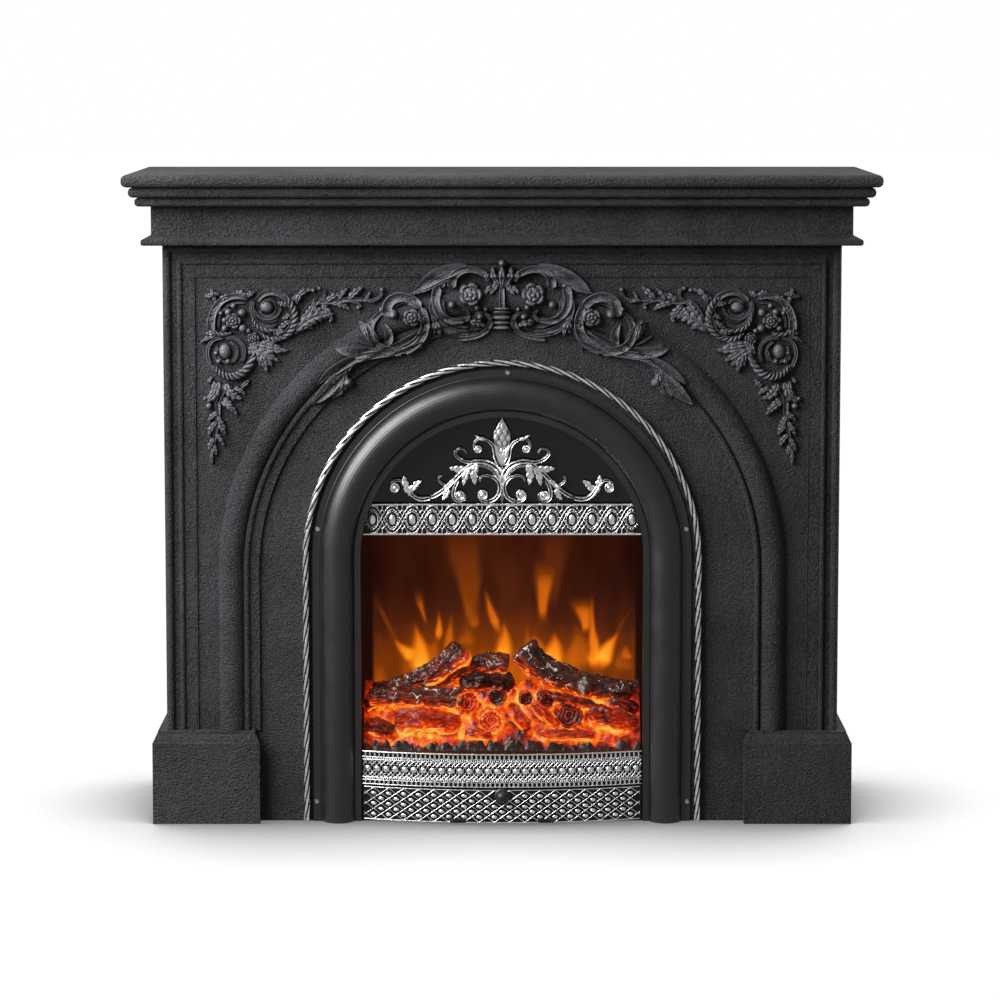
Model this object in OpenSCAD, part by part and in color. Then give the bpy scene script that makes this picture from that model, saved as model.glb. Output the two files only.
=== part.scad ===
// Electric fireplace with a cast-look mantel, an arched insert and bowed frets.
// The floor is z = 0, the front faces -Y, and the origin is under the middle of the shelf.

/* [Mantel] */
// Width of the shelf over its noses
shelf_w = 1200; // [1180:5:1300]
// Depth of the shelf from nose to wall
shelf_d = 330; // [325:5:380]
// Height of the mantel over the floor
mantel_h = 1050; // [1045:5:1120]
// Thickness of the shelf board
shelf_t = 20; // [16:1:26]
// How far the shelf stands out over the body
shelf_over = 58; // [54:1:64]
// Height of the upper bed roll
roll_a_h = 16.5; // [14:0.5:19]
// How far the upper bed roll stands out
roll_a_over = 48; // [46:0.5:52]
// Height of the lower bed roll
roll_b_h = 14.5; // [12:0.5:17]
// How far the lower bed roll stands out
roll_b_over = 39; // [36:0.5:44]
// Height of the frieze
frieze_h = 49; // [40:1:60]
// How far the frieze stands out
frieze_over = 16; // [12:0.5:20]
// Height of the moulding under the frieze
cornice_h = 13.5; // [11:0.5:16]
// How far the moulding under the frieze stands out
cornice_over = 31; // [27:0.5:35]
// Thickness of the front board
board_t = 20; // [16:1:25]
// Thickness of the side boards and rails
side_t = 18; // [15:1:22]
// Height of the upper wall rail
rail_h = 100; // [80:1:130]
// Diameter of the wall fixing holes
wall_hole_d = 7; // [5:0.5:9]
// Distance between the wall fixing holes
wall_hole_pitch = 800; // [600:10:880]

/* [Plinths] */
// Height of a plinth with its cap
plinth_h = 150; // [130:1:170]
// Height of a plinth's moulded cap
plinth_cap_h = 18; // [12:1:24]
// How far a plinth stands out of the body
plinth_over = 22; // [20:0.5:28]
// How far the cap draws in
plinth_draw = 8; // [4:0.5:8]

/* [Border] */
// Width of the roll at the border's outer edge
border_roll_w = 13.5; // [10:0.5:16]
// Distance from the outer edge to the middle of the bead
border_bead_at = 27; // [25:0.5:30]
// Width of the border bead
border_bead_w = 9; // [6:0.5:10]
// Width of the whole border
border_w = 52; // [46:1:58]
// How far the border roll stands out
border_rise = 6.5; // [4:0.5:8]
// How far the border bead stands out
border_bead_rise = 5.4; // [4:0.2:6]

/* [Arch moulding] */
// Clear height between the arch moulding's crown and the border
arch_top_gap = 17.5; // [14:0.5:24]
// Clear width between the arch moulding's legs and the border
arch_side_gap = 34; // [28:1:40]
// Width of the arch moulding's flat band
moulding_band_w = 15; // [12:0.5:18]
// Width of the arch moulding's bead
moulding_bead_w = 10; // [8:0.5:12]
// Width of the arch moulding's wide roll
moulding_roll_w = 40; // [34:1:42]
// How far the wide roll stands out
moulding_rise = 13; // [8:0.5:13.5]

/* [Ornaments] */
// Thickness of the carved leaves over the panel
leaf_rise = 8; // [5:0.5:10]
// Thickness of the carved scrolls over the panel
scroll_rise = 11; // [8:0.5:13]
// Thickness of the carved flowers over the panel
flower_rise = 14; // [10:0.5:17]
// How far the top ornament stands out over the arch moulding
crest_extra = 9; // [6:0.5:12]

/* [Insert] */
// Clear height between the rope trim's crown and the arch moulding
hearth_drop = 49.5; // [42:0.5:60]
// Radius of the hearth opening
opening_r = 228; // [220:1:232]
// Width of the insert frame from the opening to its outer edge
frame_w = 77; // [72:1:80]
// Width of the insert frame's flat inner lip
lip_w = 10; // [8:0.5:12]
// Width of the insert frame's big roll
frame_roll_w = 53; // [48:1:56]
// How far the big roll stands out
frame_rise = 20; // [16:0.5:24]
// Wall of the insert frame
frame_wall = 3.5; // [2.5:0.25:4]
// Depth of the frame's inner wall behind the panel
lip_depth = 20; // [15:1:24]
// Diameter of the rope trim
rope_d = 10; // [8:0.5:11]
// Radius of the rope trim's centre line
rope_r = 316; // [314:0.5:320]
// Diameter of a frame screw's shank
frame_screw_d = 4; // [3:0.5:4.5]

/* [Firebox] */
// How far the firebox's outer face lies outside the opening
shell_out = 12; // [11:0.5:13]
// Thickness of the firebox sheet
sheet_t = 1.5; // [1:0.1:2]
// Depth of the firebox behind the mantel's face
firebox_d = 217; // [212:1:240]
// Height of the ember stand's top
stand_h = 95.5; // [90:0.5:100]
// Height of the shelf that carries the heater over the hearth arch's centre
heater_up = 46.5; // [42:0.5:52]
// Distance from the mantel's face to the flame screen
screen_at = 125; // [120:1:135]
// Thickness of the flame screen
screen_t = 3; // [2:0.5:4]

/* [Frets] */
// Height of the upper fret band
band_h = 52; // [46:1:54]
// Height of the upper fret band's lower edge over the hearth arch's centre
band_up = 34.5; // [28:0.5:36]
// Distance between the ovals of the upper fret band
oval_pitch = 33.2; // [32:0.1:34]
// Thickness of the silver frets
fret_t = 3; // [2:0.25:3.5]
// Height of the bowed fret's top rim over the floor
bow_top = 117; // [112:1:118]
// Height of the joint between the bowed band and the flap
flap_top = 61; // [58:1:64]
// How far the bowed fret stands out in the middle
bow_rise = 28; // [24:1:30]
// Distance between the beads of the bowed band
bead_pitch = 14.7; // [14:0.1:15.5]
// Width of one diamond of the flap's relief
diamond_w = 25; // [22:0.5:28]
// Height of one diamond of the flap's relief
diamond_h = 18; // [17:0.5:19]
// Diameter of the flap's knob
knob_d = 24; // [20:1:26]
// Diameter of the flap's hinge pins
hinge_pin_d = 4; // [3:0.25:4.5]

/* [Controls] */
// Height of the switches and the dial over the floor
control_z = 30; // [27:0.5:32]
// Distance between the rocker switches
switch_pitch = 35; // [30:1:38]
// Width of a rocker
rocker_w = 19; // [16:0.5:20]
// Height of a rocker
rocker_h = 10.4; // [9:0.2:11]
// Place of the thermostat dial across the front
dial_x = 52; // [48:1:54]
// Diameter of the thermostat dial
dial_d = 30; // [26:1:32]
// Diameter of the thermostat's shaft
dial_shaft_d = 6; // [5:0.5:6.5]

/* [Fan and flame drive] */
// Diameter of the fan's drum
fan_d = 56; // [50:1:58]
// Length of the fan's drum
fan_l = 240; // [200:5:250]
// Diameter of the fan's and the flame rod's shafts
shaft_d = 6; // [5:0.5:7]
// Number of the fan's blades
fan_blades = 16; // [10:1:20]
// Radius that the flame rod's paddles reach
paddle_r = 24; // [18:1:27]
// Number of the flame rod's paddles
paddle_count = 10; // [6:1:11]

/* [Hidden] */
$fn = 64;
eps = 0.01;
gap = 0.3;
running = 0.05;

// Main planes of the mantel
nose_y = -shelf_d / 2;
wall_y = shelf_d / 2;
face_y = nose_y + shelf_over;
body_w = shelf_w - 2 * shelf_over;
half_w = body_w / 2;
shelf_z = mantel_h - shelf_t;
roll_a_z = shelf_z - roll_a_h;
roll_b_z = roll_a_z - roll_b_h;
frieze_z = roll_b_z - frieze_h;
body_h = frieze_z - cornice_h;
board_back = face_y + board_t;
moulding_w = moulding_band_w + moulding_bead_w + moulding_roll_w;
moulding_r = half_w - border_w - arch_side_gap - moulding_w;
moulding_spring = body_h - border_w - arch_top_gap - moulding_w - moulding_r;
hollow_over = 24;
floor_rail_h = 60;
gland_x = 180;
gland_z = floor_rail_h + 20;

// Radii of the insert frame, from the opening outwards
hearth_spring = moulding_spring + moulding_r - hearth_drop - rope_r - rope_d / 2;
heater_z = hearth_spring + heater_up;
band_z = hearth_spring + band_up;
roll_in = opening_r + lip_w;
roll_out = roll_in + frame_roll_w;
frame_r = opening_r + frame_w;
lip_wall = 4;
lip_rise = 4;
flange_t = 3;
shell_r = opening_r + shell_out;
shell_in = shell_r - sheet_t;
board_hole_r = shell_r + 4;
lip_back = face_y + lip_depth;
firebox_back = face_y + firebox_d;
screen_y = face_y + screen_at;
frame_screw_r = frame_r - 5;
frame_screw_angle = 9;
seam_screw_angle = 88.2;
frame_screw_foot = 32;

// The bow of the lower fret
bow_half = opening_r;
bow_r = (bow_half * bow_half + bow_rise * bow_rise) / (2 * bow_rise);
bow_cy = face_y - bow_rise + bow_r;
bow_beads = 15;
flap_z = 3;
flap_gap = 2.5;
flap_half = bow_half - 1.5;
hinge_y = face_y - bow_rise + 3.5;
hinge_z = 6.5;
knuckle_r = 4;
knuckle_x = 58;
lug_x = 80;
lug_t = 4;
knob_z = flap_top - flap_gap - knob_d / 2 + 2;

// The planes of the controls
panel_y = face_y + 8;
rocker_y = panel_y + 1;
rocker_tilt = 7;
switch_x = -90;
stand_z = stand_h - sheet_t;

// The heater's places
fan_y = face_y + 142;
fan_z = heater_z + 42;
scroll_r = fan_d / 2 + 8;
duct_half = fan_l / 2 + 10;
duct_t = 1.2;
mouth_y = lip_back + sheet_t;
mouth_low = fan_z - scroll_r + 1;
mouth_high = mouth_low + 29;

// The flame rod's places
rod_y = screen_y + 42;
rod_z = 140;
rod_half = 205;

function arc_pts(cx, cy, r, a0, a1, n) =
    [for (i = [0:n]) let (a = a0 + (a1 - a0) * i / n) [cx + r * cos(a), cy + r * sin(a)]];

// A rounded hump from x0 to x1 that stands h over the level base
function bulge(x0, x1, base, h, n = 8) =
    let (w = (x1 - x0) / 2, r = (w * w + h * h) / (2 * h), half = 2 * atan(h / w))
    arc_pts((x0 + x1) / 2, base + h - r, r, 90 + half, 90 - half, n);

// A moulding's section with a round nose, from the nose at a to the back at b
function nose_section(a, b, z0, z1, r) =
    concat([[b, z0], [b, z1]], arc_pts(a + r, z1 - r, r, 90, 180, 5),
        arc_pts(a + r, z0 + r, r, 180, 270, 5));

function mirrored_nose(a, z0, z1, r) =
    concat(arc_pts(-a + r, z1 - r, r, 90, 180, 5), arc_pts(-a + r, z0 + r, r, 180, 270, 5),
        arc_pts(a - r, z0 + r, r, 270, 360, 5), arc_pts(a - r, z1 - r, r, 0, 90, 5));

// A lobed leaf from p0 to p1, w wide, bent sideways by b
function leaf_pts(p0, p1, w, b, lobes = 3) =
    let (d = p1 - p0, len = norm(d), side = [-d[1], d[0]] / len, n = 4 * lobes)
    concat(
        [for (i = [0:n]) let (t = i / n) p0 + d * t + side * (4 * b * t * (1 - t)
            + w / 2 * leaf_half(t, lobes))],
        [for (i = [n - 1:-1:1]) let (t = i / n) p0 + d * t + side * (4 * b * t * (1 - t)
            - w / 2 * leaf_half(t, lobes))]);

function leaf_half(t, lobes) = sin(180 * pow(t, 0.75)) * (0.74 + 0.26 * abs(sin(180 * lobes * t)));

function bezier(p, t) = p[0] * pow(1 - t, 3) + 3 * p[1] * t * pow(1 - t, 2)
    + 3 * p[2] * t * t * (1 - t) + p[3] * pow(t, 3);

function bezier_side(p, t) =
    let (d = bezier(p, t + 0.001) - bezier(p, t - 0.001)) [-d[1], d[0]] / norm(d);

// A tapering stroke along four control points, from width w0 to width w1
function stroke_pts(p, w0, w1, n = 12) =
    concat(
        [for (i = [0:n]) let (t = i / n) bezier(p, t) + bezier_side(p, t) * (w0 + (w1 - w0) * t) / 2],
        [for (i = [n:-1:0]) let (t = i / n) bezier(p, t) - bezier_side(p, t) * (w0 + (w1 - w0) * t) / 2]);

// A spiral band from radius r0 to r1 between two angles
function scroll_pts(c, r0, r1, a0, a1, w0, w1, n = 24) =
    concat(
        [for (i = [0:n]) let (t = i / n, a = a0 + (a1 - a0) * t, r = r0 + (r1 - r0) * t)
            c + (r + (w0 + (w1 - w0) * t) / 2) * [cos(a), sin(a)]],
        [for (i = [n:-1:0]) let (t = i / n, a = a0 + (a1 - a0) * t, r = r0 + (r1 - r0) * t)
            c + (r - (w0 + (w1 - w0) * t) / 2) * [cos(a), sin(a)]]);

function oval_pts(c, a, b, n = 20) = [for (i = [0:n - 1]) c + [a * cos(360 * i / n), b * sin(360 * i / n)]];

function diamond_pts(c, a, b) = [c + [a, 0], c + [0, b], c - [a, 0], c - [0, b]];

module along_x(x0, x1) {
    translate([x0, 0, 0]) rotate([90, 0, 90]) linear_extrude(x1 - x0) children();
}

module along_y(y0, y1) {
    translate([0, y1, 0]) rotate([90, 0, 0]) linear_extrude(y1 - y0) children();
}

module both_sides() {
    children();
    mirror([1, 0, 0]) children();
}

// A board with a round nose at its front and both ends, mitred at the corners
module nosed_board(over, z0, z1, r) {
    intersection() {
        along_x(-half_w - over - 1, half_w + over + 1)
            polygon(nose_section(face_y - over, wall_y, z0, z1, r));
        along_y(face_y - over - 1, wall_y)
            polygon(mirrored_nose(half_w + over, z0, z1, r));
    }
}

// The room inside a three-sided box moulding
module hollow(z0, z1) {
    translate([-half_w + hollow_over, face_y + hollow_over, z0 - eps])
        cube([body_w - 2 * hollow_over, shelf_d, z1 - z0 + 2 * eps]);
}

// Half of an arch with its leg, from a section of radius and rise
module arch_half(spring, foot) {
    translate([0, face_y, spring]) rotate([90, 0, 0]) rotate_extrude(angle = 90) children();
    translate([0, face_y, foot]) linear_extrude(spring - foot) mirror([0, 1]) children();
}

// The outline of an arched sheet, seen from the front
module arch_outline(r, foot) {
    translate([0, hearth_spring]) circle(r);
    translate([-r, foot]) square([2 * r, hearth_spring - foot]);
}

module arch_ring(outer, inner) {
    difference() {
        arch_outline(outer, 0);
        arch_outline(inner, -1);
    }
}

module shelf_board() {
    color("#2e2e31") nosed_board(shelf_over, shelf_z, mantel_h, shelf_t * 0.42);
}

module bed_moulding() {
    color("#2b2b2e") difference() {
        union() {
            nosed_board(roll_a_over, roll_a_z, shelf_z, roll_a_h * 0.45);
            nosed_board(roll_b_over, roll_b_z, roll_a_z, roll_b_h * 0.45);
        }
        hollow(roll_b_z, shelf_z);
    }
}

module frieze_box() {
    color("#2c2c2f") difference() {
        translate([-half_w - frieze_over, face_y - frieze_over, frieze_z])
            cube([body_w + 2 * frieze_over, wall_y - face_y + frieze_over, frieze_h]);
        hollow(frieze_z, roll_b_z);
    }
}

// The sloping top of the moulding starts at the frieze's foot
function cornice_slope(a, r) = concat([[a + cornice_over - frieze_over, frieze_z]],
    arc_pts(a + r, frieze_z - r - 3, r, 110, 180, 4), arc_pts(a + r, body_h + r, r, 180, 270, 4));

module frieze_moulding() {
    nose_r = 4;
    front = cornice_slope(face_y - cornice_over, nose_r);
    side = cornice_slope(-half_w - cornice_over, nose_r);
    color("#2b2b2e") intersection() {
        along_x(-half_w - cornice_over - 1, half_w + cornice_over + 1)
            polygon(concat([[wall_y, body_h], [wall_y, frieze_z]], front));
        along_y(face_y - cornice_over - 1, wall_y)
            polygon(concat(side, [for (i = [len(side) - 1:-1:0]) [-side[i][0], side[i][1]]]));
    }
}

module front_panel() {
    color("#2f2f32") difference() {
        translate([-half_w, face_y, 0]) cube([body_w, board_t, body_h]);
        along_y(face_y - 1, board_back + 1) {
            translate([0, hearth_spring]) circle(board_hole_r);
            translate([-board_hole_r, -1]) square([2 * board_hole_r, hearth_spring + 1]);
        }
        frame_screw_places() cylinder(d = frame_screw_d + 0.2, h = 2 * board_t, center = true);
    }
}

module side_panel() {
    translate([half_w - side_t, board_back, 0]) cube([side_t, wall_y - board_back, body_h]);
}

module side_panel_left() {
    color("#2d2d30") mirror([1, 0, 0]) side_panel();
}

module side_panel_right() {
    color("#2d2d30") side_panel();
}

// The border's section, from the outer edge inwards
function border_section() =
    let (bead_in = border_bead_at + border_bead_w / 2, bead_out = border_bead_at - border_bead_w / 2)
    concat([[0, 0]], bulge(0, border_roll_w, 1, border_rise), bulge(bead_out, bead_in, 1, border_bead_rise - 1),
        [[bead_in + 1, 1.6], [border_w - 3, 1.6]], bulge(border_w - 2.6, border_w, 1, 1.2, 4),
        [[border_w, 0]]);

module border_moulding() {
    head_z = body_h;
    color("#2c2c2f") {
        both_sides() intersection() {
            translate([half_w, face_y, plinth_h]) linear_extrude(head_z - plinth_h)
                polygon([for (p = border_section()) [-p[0], -p[1]]]);
            along_y(face_y - 20, face_y)
                polygon([[half_w + 1, plinth_h], [half_w + 1, head_z + 1], [half_w - border_w - 1,
                    head_z - border_w - 1], [half_w - border_w - 1, plinth_h]]);
        }
        intersection() {
            along_x(-half_w, half_w)
                polygon([for (p = border_section()) [face_y - p[1], head_z - p[0]]]);
            along_y(face_y - 20, face_y)
                polygon([[half_w, head_z], [half_w - border_w - 1, head_z - border_w - 1],
                    [-half_w + border_w + 1, head_z - border_w - 1], [-half_w, head_z]]);
        }
    }
}

module moulding_section() {
    bead_at = moulding_r + moulding_band_w;
    roll_at = bead_at + moulding_bead_w;
    polygon(concat([[moulding_r, 0], [moulding_r, 4]], bulge(bead_at, roll_at, 4, 4.2),
        bulge(roll_at, roll_at + moulding_roll_w, 2, moulding_rise - 2, 10), [[roll_at + moulding_roll_w, 0]]));
}

module arch_moulding() {
    color("#2c2c2f") both_sides() arch_half(moulding_spring, plinth_h) moulding_section();
}

// The cap's ogee, as points of draw and height
function cap_edge() = [[0, -plinth_cap_h], [0.25, -0.92 * plinth_cap_h], [0.38, -0.7 * plinth_cap_h],
    [0.62, -0.42 * plinth_cap_h], [1, -0.22 * plinth_cap_h], [1, 0]];

module plinth() {
    out_x = half_w + plinth_over;
    out_y = face_y - plinth_over;
    difference() {
        intersection() {
            along_y(out_y, wall_y)
                polygon(concat([[moulding_r, 0]],
                    [for (p = cap_edge()) [moulding_r + p[0] * plinth_draw, plinth_h + p[1]]],
                    [for (i = [len(cap_edge()) - 1:-1:0]) let (p = cap_edge()[i])
                        [out_x - p[0] * plinth_draw, plinth_h + p[1]]], [[out_x, 0]]));
            along_x(moulding_r, out_x)
                polygon(concat([[wall_y, 0], [out_y, 0]],
                    [for (p = cap_edge()) [out_y + p[0] * plinth_draw, plinth_h + p[1]]],
                    [[wall_y, plinth_h]]));
        }
        translate([moulding_r - 1, face_y, -1])
            cube([half_w - moulding_r + 1, wall_y - face_y + 1, plinth_h + 2]);
    }
}

module plinth_left() {
    color("#303033") mirror([1, 0, 0]) plinth();
}

module plinth_right() {
    color("#303033") plinth();
}

// A flower of round petals about a button
module flower(c, r, petals, rise) {
    translate(c) {
        linear_extrude(rise * 0.8) for (i = [0:petals - 1])
            rotate(360 * i / petals) translate([r * 0.56, 0]) circle(r * 0.44);
        cylinder(r1 = r * 0.55, r2 = r * 0.3, h = rise);
    }
}

module leaf(p0, p1, w, b, lobes = 3, rise = leaf_rise) {
    linear_extrude(rise) polygon(leaf_pts(p0, p1, w, b, lobes));
}

module scroll(c, r0, r1, a0, a1, w0, w1, rise = scroll_rise) {
    linear_extrude(rise) polygon(scroll_pts(c, r0, r1, a0, a1, w0, w1));
}

// One arm of the corner ornament, along X from the field's corner
module corner_arm() {
    ring = [117, -55];
    scroll(ring, 30, 10, 150, 600, 9, 5);
    flower(ring, 9, 5, scroll_rise);
    leaf([92, -72], [66, -18], 24, 7);
    leaf([140, -36], [196, -24], 26, -7);
    leaf([138, -62], [176, -70], 20, 6);
    leaf([176, -36], [250, -44], 22, 9, 4);
    leaf([186, -30], [222, -10], 16, -5);
    leaf([236, -36], [302, -20], 20, -5, 4);
    leaf([232, -40], [262, -58], 15, 4);
    linear_extrude(leaf_rise) polygon(stroke_pts([[128, -40], [180, -28], [220, -44], [270, -32]], 9, 4));
}

module corner_ornament() {
    field = border_w + 1;
    translate([half_w - field, face_y, body_h - field]) rotate([90, 0, 0]) mirror([1, 0, 0]) {
        corner_arm();
        mirror([1, 1, 0]) corner_arm();
        flower([27, -27], 15, 6, scroll_rise);
        flower([64, -70], 19, 6, flower_rise);
        leaf([72, -80], [124, -132], 34, 0, 4);
        leaf([84, -82], [150, -112], 24, 7);
        leaf([78, -92], [108, -156], 24, -7);
        leaf([46, -40], [22, -68], 18, 5);
        leaf([40, -46], [68, -22], 18, -5);
        linear_extrude(leaf_rise) polygon(stroke_pts([[27, -27], [36, -44], [50, -56], [64, -70]], 8, 8));
    }
}

module corner_ornament_left() {
    color("#29292c") mirror([1, 0, 0]) corner_ornament();
}

module corner_ornament_right() {
    color("#29292c") corner_ornament();
}

// One half of the top ornament, from the middle outwards; heights are over the arch's inner edge
module crest_half() {
    low = moulding_rise + leaf_rise - 3;
    high = moulding_rise + scroll_rise - 3;
    top = moulding_rise + flower_rise - 3;
    scroll([58, 56], 36, 14, 190, 560, 11, 6, high);
    linear_extrude(high) polygon(stroke_pts([[6, 44], [12, 48], [18, 50], [26, 54]], 10, 8));
    flower([54, 56], 22, 6, top);
    scroll([151, 6], 34, 13, 60, 520, 10, 6, high);
    flower([145, 17], 15, 5, top);
    scroll([190, 6], 13, 5, -60, 300, 7, 4, high);
    leaf([168, -4], [200, -20], 22, -3, 2, low);
    leaf([10, 14], [56, 14], 22, -5, 3, low);
    leaf([92, 78], [24, 100], 24, -7, 4, low);
    leaf([120, 42], [60, 96], 32, 12, 4, low);
    leaf([94, 28], [118, 62], 26, -5, 3, low);
    leaf([156, 36], [112, 72], 24, 6, 3, low);
    leaf([178, -4], [262, -34], 34, 10, 4, low);
    leaf([196, -16], [214, -76], 26, -6, 4, low);
    leaf([198, 4], [266, -6], 20, 7, 3, low);
    leaf([222, -34], [294, -84], 28, 7, 4, low);
    leaf([232, -44], [246, -88], 22, -5, 3, low);
    leaf([258, -70], [304, -116], 20, 5, 3, low);
    linear_extrude(low) polygon(stroke_pts([[184, -10], [212, -24], [250, -56], [280, -96]], 13, 6));
}

module crest_ornament() {
    base_z = moulding_spring + moulding_r;
    lift = moulding_rise + crest_extra;
    bead_at = moulding_r + moulding_band_w;
    color("#29292c") difference() {
        translate([0, face_y, base_z]) rotate([90, 0, 0]) {
            both_sides() {
                crest_half();
                linear_extrude(lift) polygon(leaf_pts([2, 70], [26, 104], 18, 5, 2));
            }
            linear_extrude(lift) {
                polygon([[-22, -2], [22, -2], [22, 4], [16, 8], [16, 18], [20, 22], [11, 30], [8, 52],
                    [15, 62], [12, 78], [-12, 78], [-15, 62], [-8, 52], [-11, 30], [-20, 22],
                    [-16, 18], [-16, 8], [-22, 4]]);
                polygon(leaf_pts([0, 70], [0, 108], 20, 0, 2));
                translate([0, 108]) circle(6);
            }
        }
        translate([-half_w, face_y - border_bead_rise - 0.2, body_h - border_w - gap])
            cube([body_w, border_bead_rise + 1, border_w + gap]);
        both_sides() arch_half(moulding_spring, plinth_h)
            polygon([[moulding_r - gap, -1], [moulding_r - gap, 4.2], [bead_at, 4.2],
                [bead_at, 8.6], [bead_at + moulding_bead_w, 8.6], [bead_at + moulding_bead_w, moulding_rise + 0.2],
                [moulding_r + moulding_w + gap, moulding_rise + 0.2], [moulding_r + moulding_w + gap, -1]]);
    }
}

module rope_trim() {
    flat = 0.6;
    color("silver") both_sides() arch_half(hearth_spring, 0) intersection() {
        translate([rope_r, rope_d / 2 - flat]) circle(rope_d / 2);
        translate([rope_r - rope_d, 0]) square([2 * rope_d, rope_d]);
    }
}

module wall_rail() {
    color("#8a7458") difference() {
        translate([-half_w + side_t, wall_y - side_t, body_h - rail_h])
            cube([body_w - 2 * side_t, side_t, rail_h]);
        for (s = [-1, 1]) translate([s * wall_hole_pitch / 2, wall_y + 1, body_h - rail_h / 2])
            rotate([90, 0, 0]) cylinder(d = wall_hole_d, h = side_t + 2);
    }
}

module floor_rail() {
    color("#8a7458") translate([-half_w + side_t, wall_y - side_t, 0])
        cube([body_w - 2 * side_t, side_t, floor_rail_h]);
}

module corner_blocks() {
    block = 30;
    block_h = 90;
    top_gap = 46.5;
    step = (body_h - floor_rail_h - block_h - top_gap) / 2;
    color("#8a7458") both_sides() for (i = [0:2])
        translate([half_w - side_t - block, board_back, floor_rail_h + i * step]) cube([block, block, block_h]);
}

module frame_section() {
    polygon(concat([[opening_r, -lip_depth], [opening_r, lip_rise], [roll_in, lip_rise]],
        bulge(roll_in + 0.5, roll_out, lip_rise - 1, frame_rise - lip_rise + 1, 14),
        [[roll_out + 1, flange_t]], bulge(roll_out + 2.5, roll_out + 4.5, flange_t, 1.2, 4),
        [[frame_r, flange_t], [frame_r, 0], [roll_out - frame_wall, 0]],
        [for (i = [12:-1:0]) bulge(roll_in + frame_wall, roll_out - frame_wall, 0,
            frame_rise - frame_wall, 12)[i]],
        [[opening_r + lip_wall, 0], [opening_r + lip_wall, -lip_depth]]));
}

module frame_half(extra_angles) {
    difference() {
        arch_half(hearth_spring, 0) frame_section();
        for (a = extra_angles) frame_screw_at(a) cylinder(d = frame_screw_d + 0.2, h = 20, center = true);
        translate([frame_screw_r, face_y, frame_screw_foot]) rotate([90, 0, 0])
            cylinder(d = frame_screw_d + 0.2, h = 20, center = true);
    }
}

module frame_screw_at(a) {
    translate([frame_screw_r * cos(a), face_y, hearth_spring + frame_screw_r * sin(a)])
        rotate([90, 0, 0]) children();
}

module frame_screw_places() {
    for (a = [frame_screw_angle, 180 - frame_screw_angle, seam_screw_angle]) frame_screw_at(a) children();
    for (s = [-1, 1]) translate([s * frame_screw_r, face_y, frame_screw_foot])
        rotate([90, 0, 0]) children();
}

module frame_left() {
    color("#1c1c1e") mirror([1, 0, 0]) frame_half([frame_screw_angle]);
}

module frame_right() {
    color("#1c1c1e") frame_half([frame_screw_angle, seam_screw_angle]);
}

module frame_screws() {
    color("#55565a") frame_screw_places() {
        translate([0, 0, flange_t]) difference() {
            cylinder(d1 = 8, d2 = 6, h = 2.2);
            translate([-4, -0.4, 1.4]) cube([8, 0.8, 2]);
        }
        translate([0, 0, flange_t - 14]) cylinder(d = frame_screw_d, h = 14 + eps);
    }
}

// Places around the back flange of the firebox shell
module cover_screw_places() {
    r = shell_r - 7;
    for (a = [18, 54, 90, 126, 162]) translate([r * cos(a), firebox_back, hearth_spring + r * sin(a)])
        rotate([-90, 0, 0]) children();
    for (s = [-1, 1]) for (z = [60, 250]) translate([s * r, firebox_back, z])
        rotate([-90, 0, 0]) children();
}

module firebox_shell() {
    color("#3a1512") difference() {
        union() {
            along_y(face_y, firebox_back) arch_ring(shell_r, shell_in);
            along_y(firebox_back - sheet_t, firebox_back) arch_ring(shell_in + eps, shell_r - 14);
        }
        cover_screw_places() cylinder(d = 3.4, h = 10, center = true);
    }
}

module base_tray() {
    inset = 8;
    color("#3b3c3f") linear_extrude(2) {
        translate([-opening_r, face_y]) square([2 * opening_r, lip_depth]);
        translate([-shell_in, lip_back]) square([2 * shell_in, firebox_back - sheet_t - lip_back]);
        intersection() {
            translate([0, bow_cy]) circle(bow_r - fret_t - inset);
            translate([-opening_r + inset, face_y - bow_rise]) square([2 * opening_r - 2 * inset, bow_rise + 1]);
        }
    }
}

module rear_cover() {
    color("#3b3c3f") difference() {
        along_y(firebox_back, firebox_back + sheet_t) difference() {
            arch_outline(shell_r, 0);
            for (i = [0:9]) for (s = [-1, 1]) translate([s * 70 - 40, 500 + 10 * i]) square([80, 4]);
            for (i = [0:5]) translate([40 + 18 * i, 150]) square([5, 60]);
            translate([-gland_x, gland_z]) circle(6.1);
        }
        cover_screw_places() cylinder(d = 3.4, h = 10, center = true);
        for (p = standoff_places()) translate([p[0], firebox_back, p[1]]) rotate([-90, 0, 0])
            cylinder(d = 3.2, h = 10, center = true);
    }
}

module cover_screws() {
    color("#7c7d80") cover_screw_places() {
        translate([0, 0, sheet_t]) cylinder(d1 = 6.4, d2 = 4.6, h = 1.8);
        translate([0, 0, sheet_t - 8]) cylinder(d = 3.2, h = 8 + eps);
    }
}

// The dark sheet behind the top fret, with the slot for the warm air
module upper_plate() {
    color("#151517") along_y(lip_back, lip_back + sheet_t) difference() {
        intersection() {
            arch_outline(shell_in - 1, 0);
            translate([-shell_r, band_z]) square([2 * shell_r, 300]);
        }
        translate([-duct_half + 8, mouth_low + 2]) square([2 * duct_half - 16, mouth_high - mouth_low - 4]);
    }
}

module heater_shelf() {
    half = sqrt(shell_in * shell_in - pow(heater_z + sheet_t - hearth_spring, 2)) - 0.1;
    color("#3b3c3f") translate([-half, lip_back + sheet_t, heater_z])
        cube([2 * half, firebox_back - lip_back - 2 * sheet_t, sheet_t]);
}

module flame_screen() {
    color("#9c4a1a") along_y(screen_y, screen_y + screen_t) intersection() {
        arch_outline(shell_in - gap, 0);
        translate([-shell_in + gap, stand_h]) square([2 * shell_in - 2 * gap, heater_z - stand_h]);
    }
}

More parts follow.
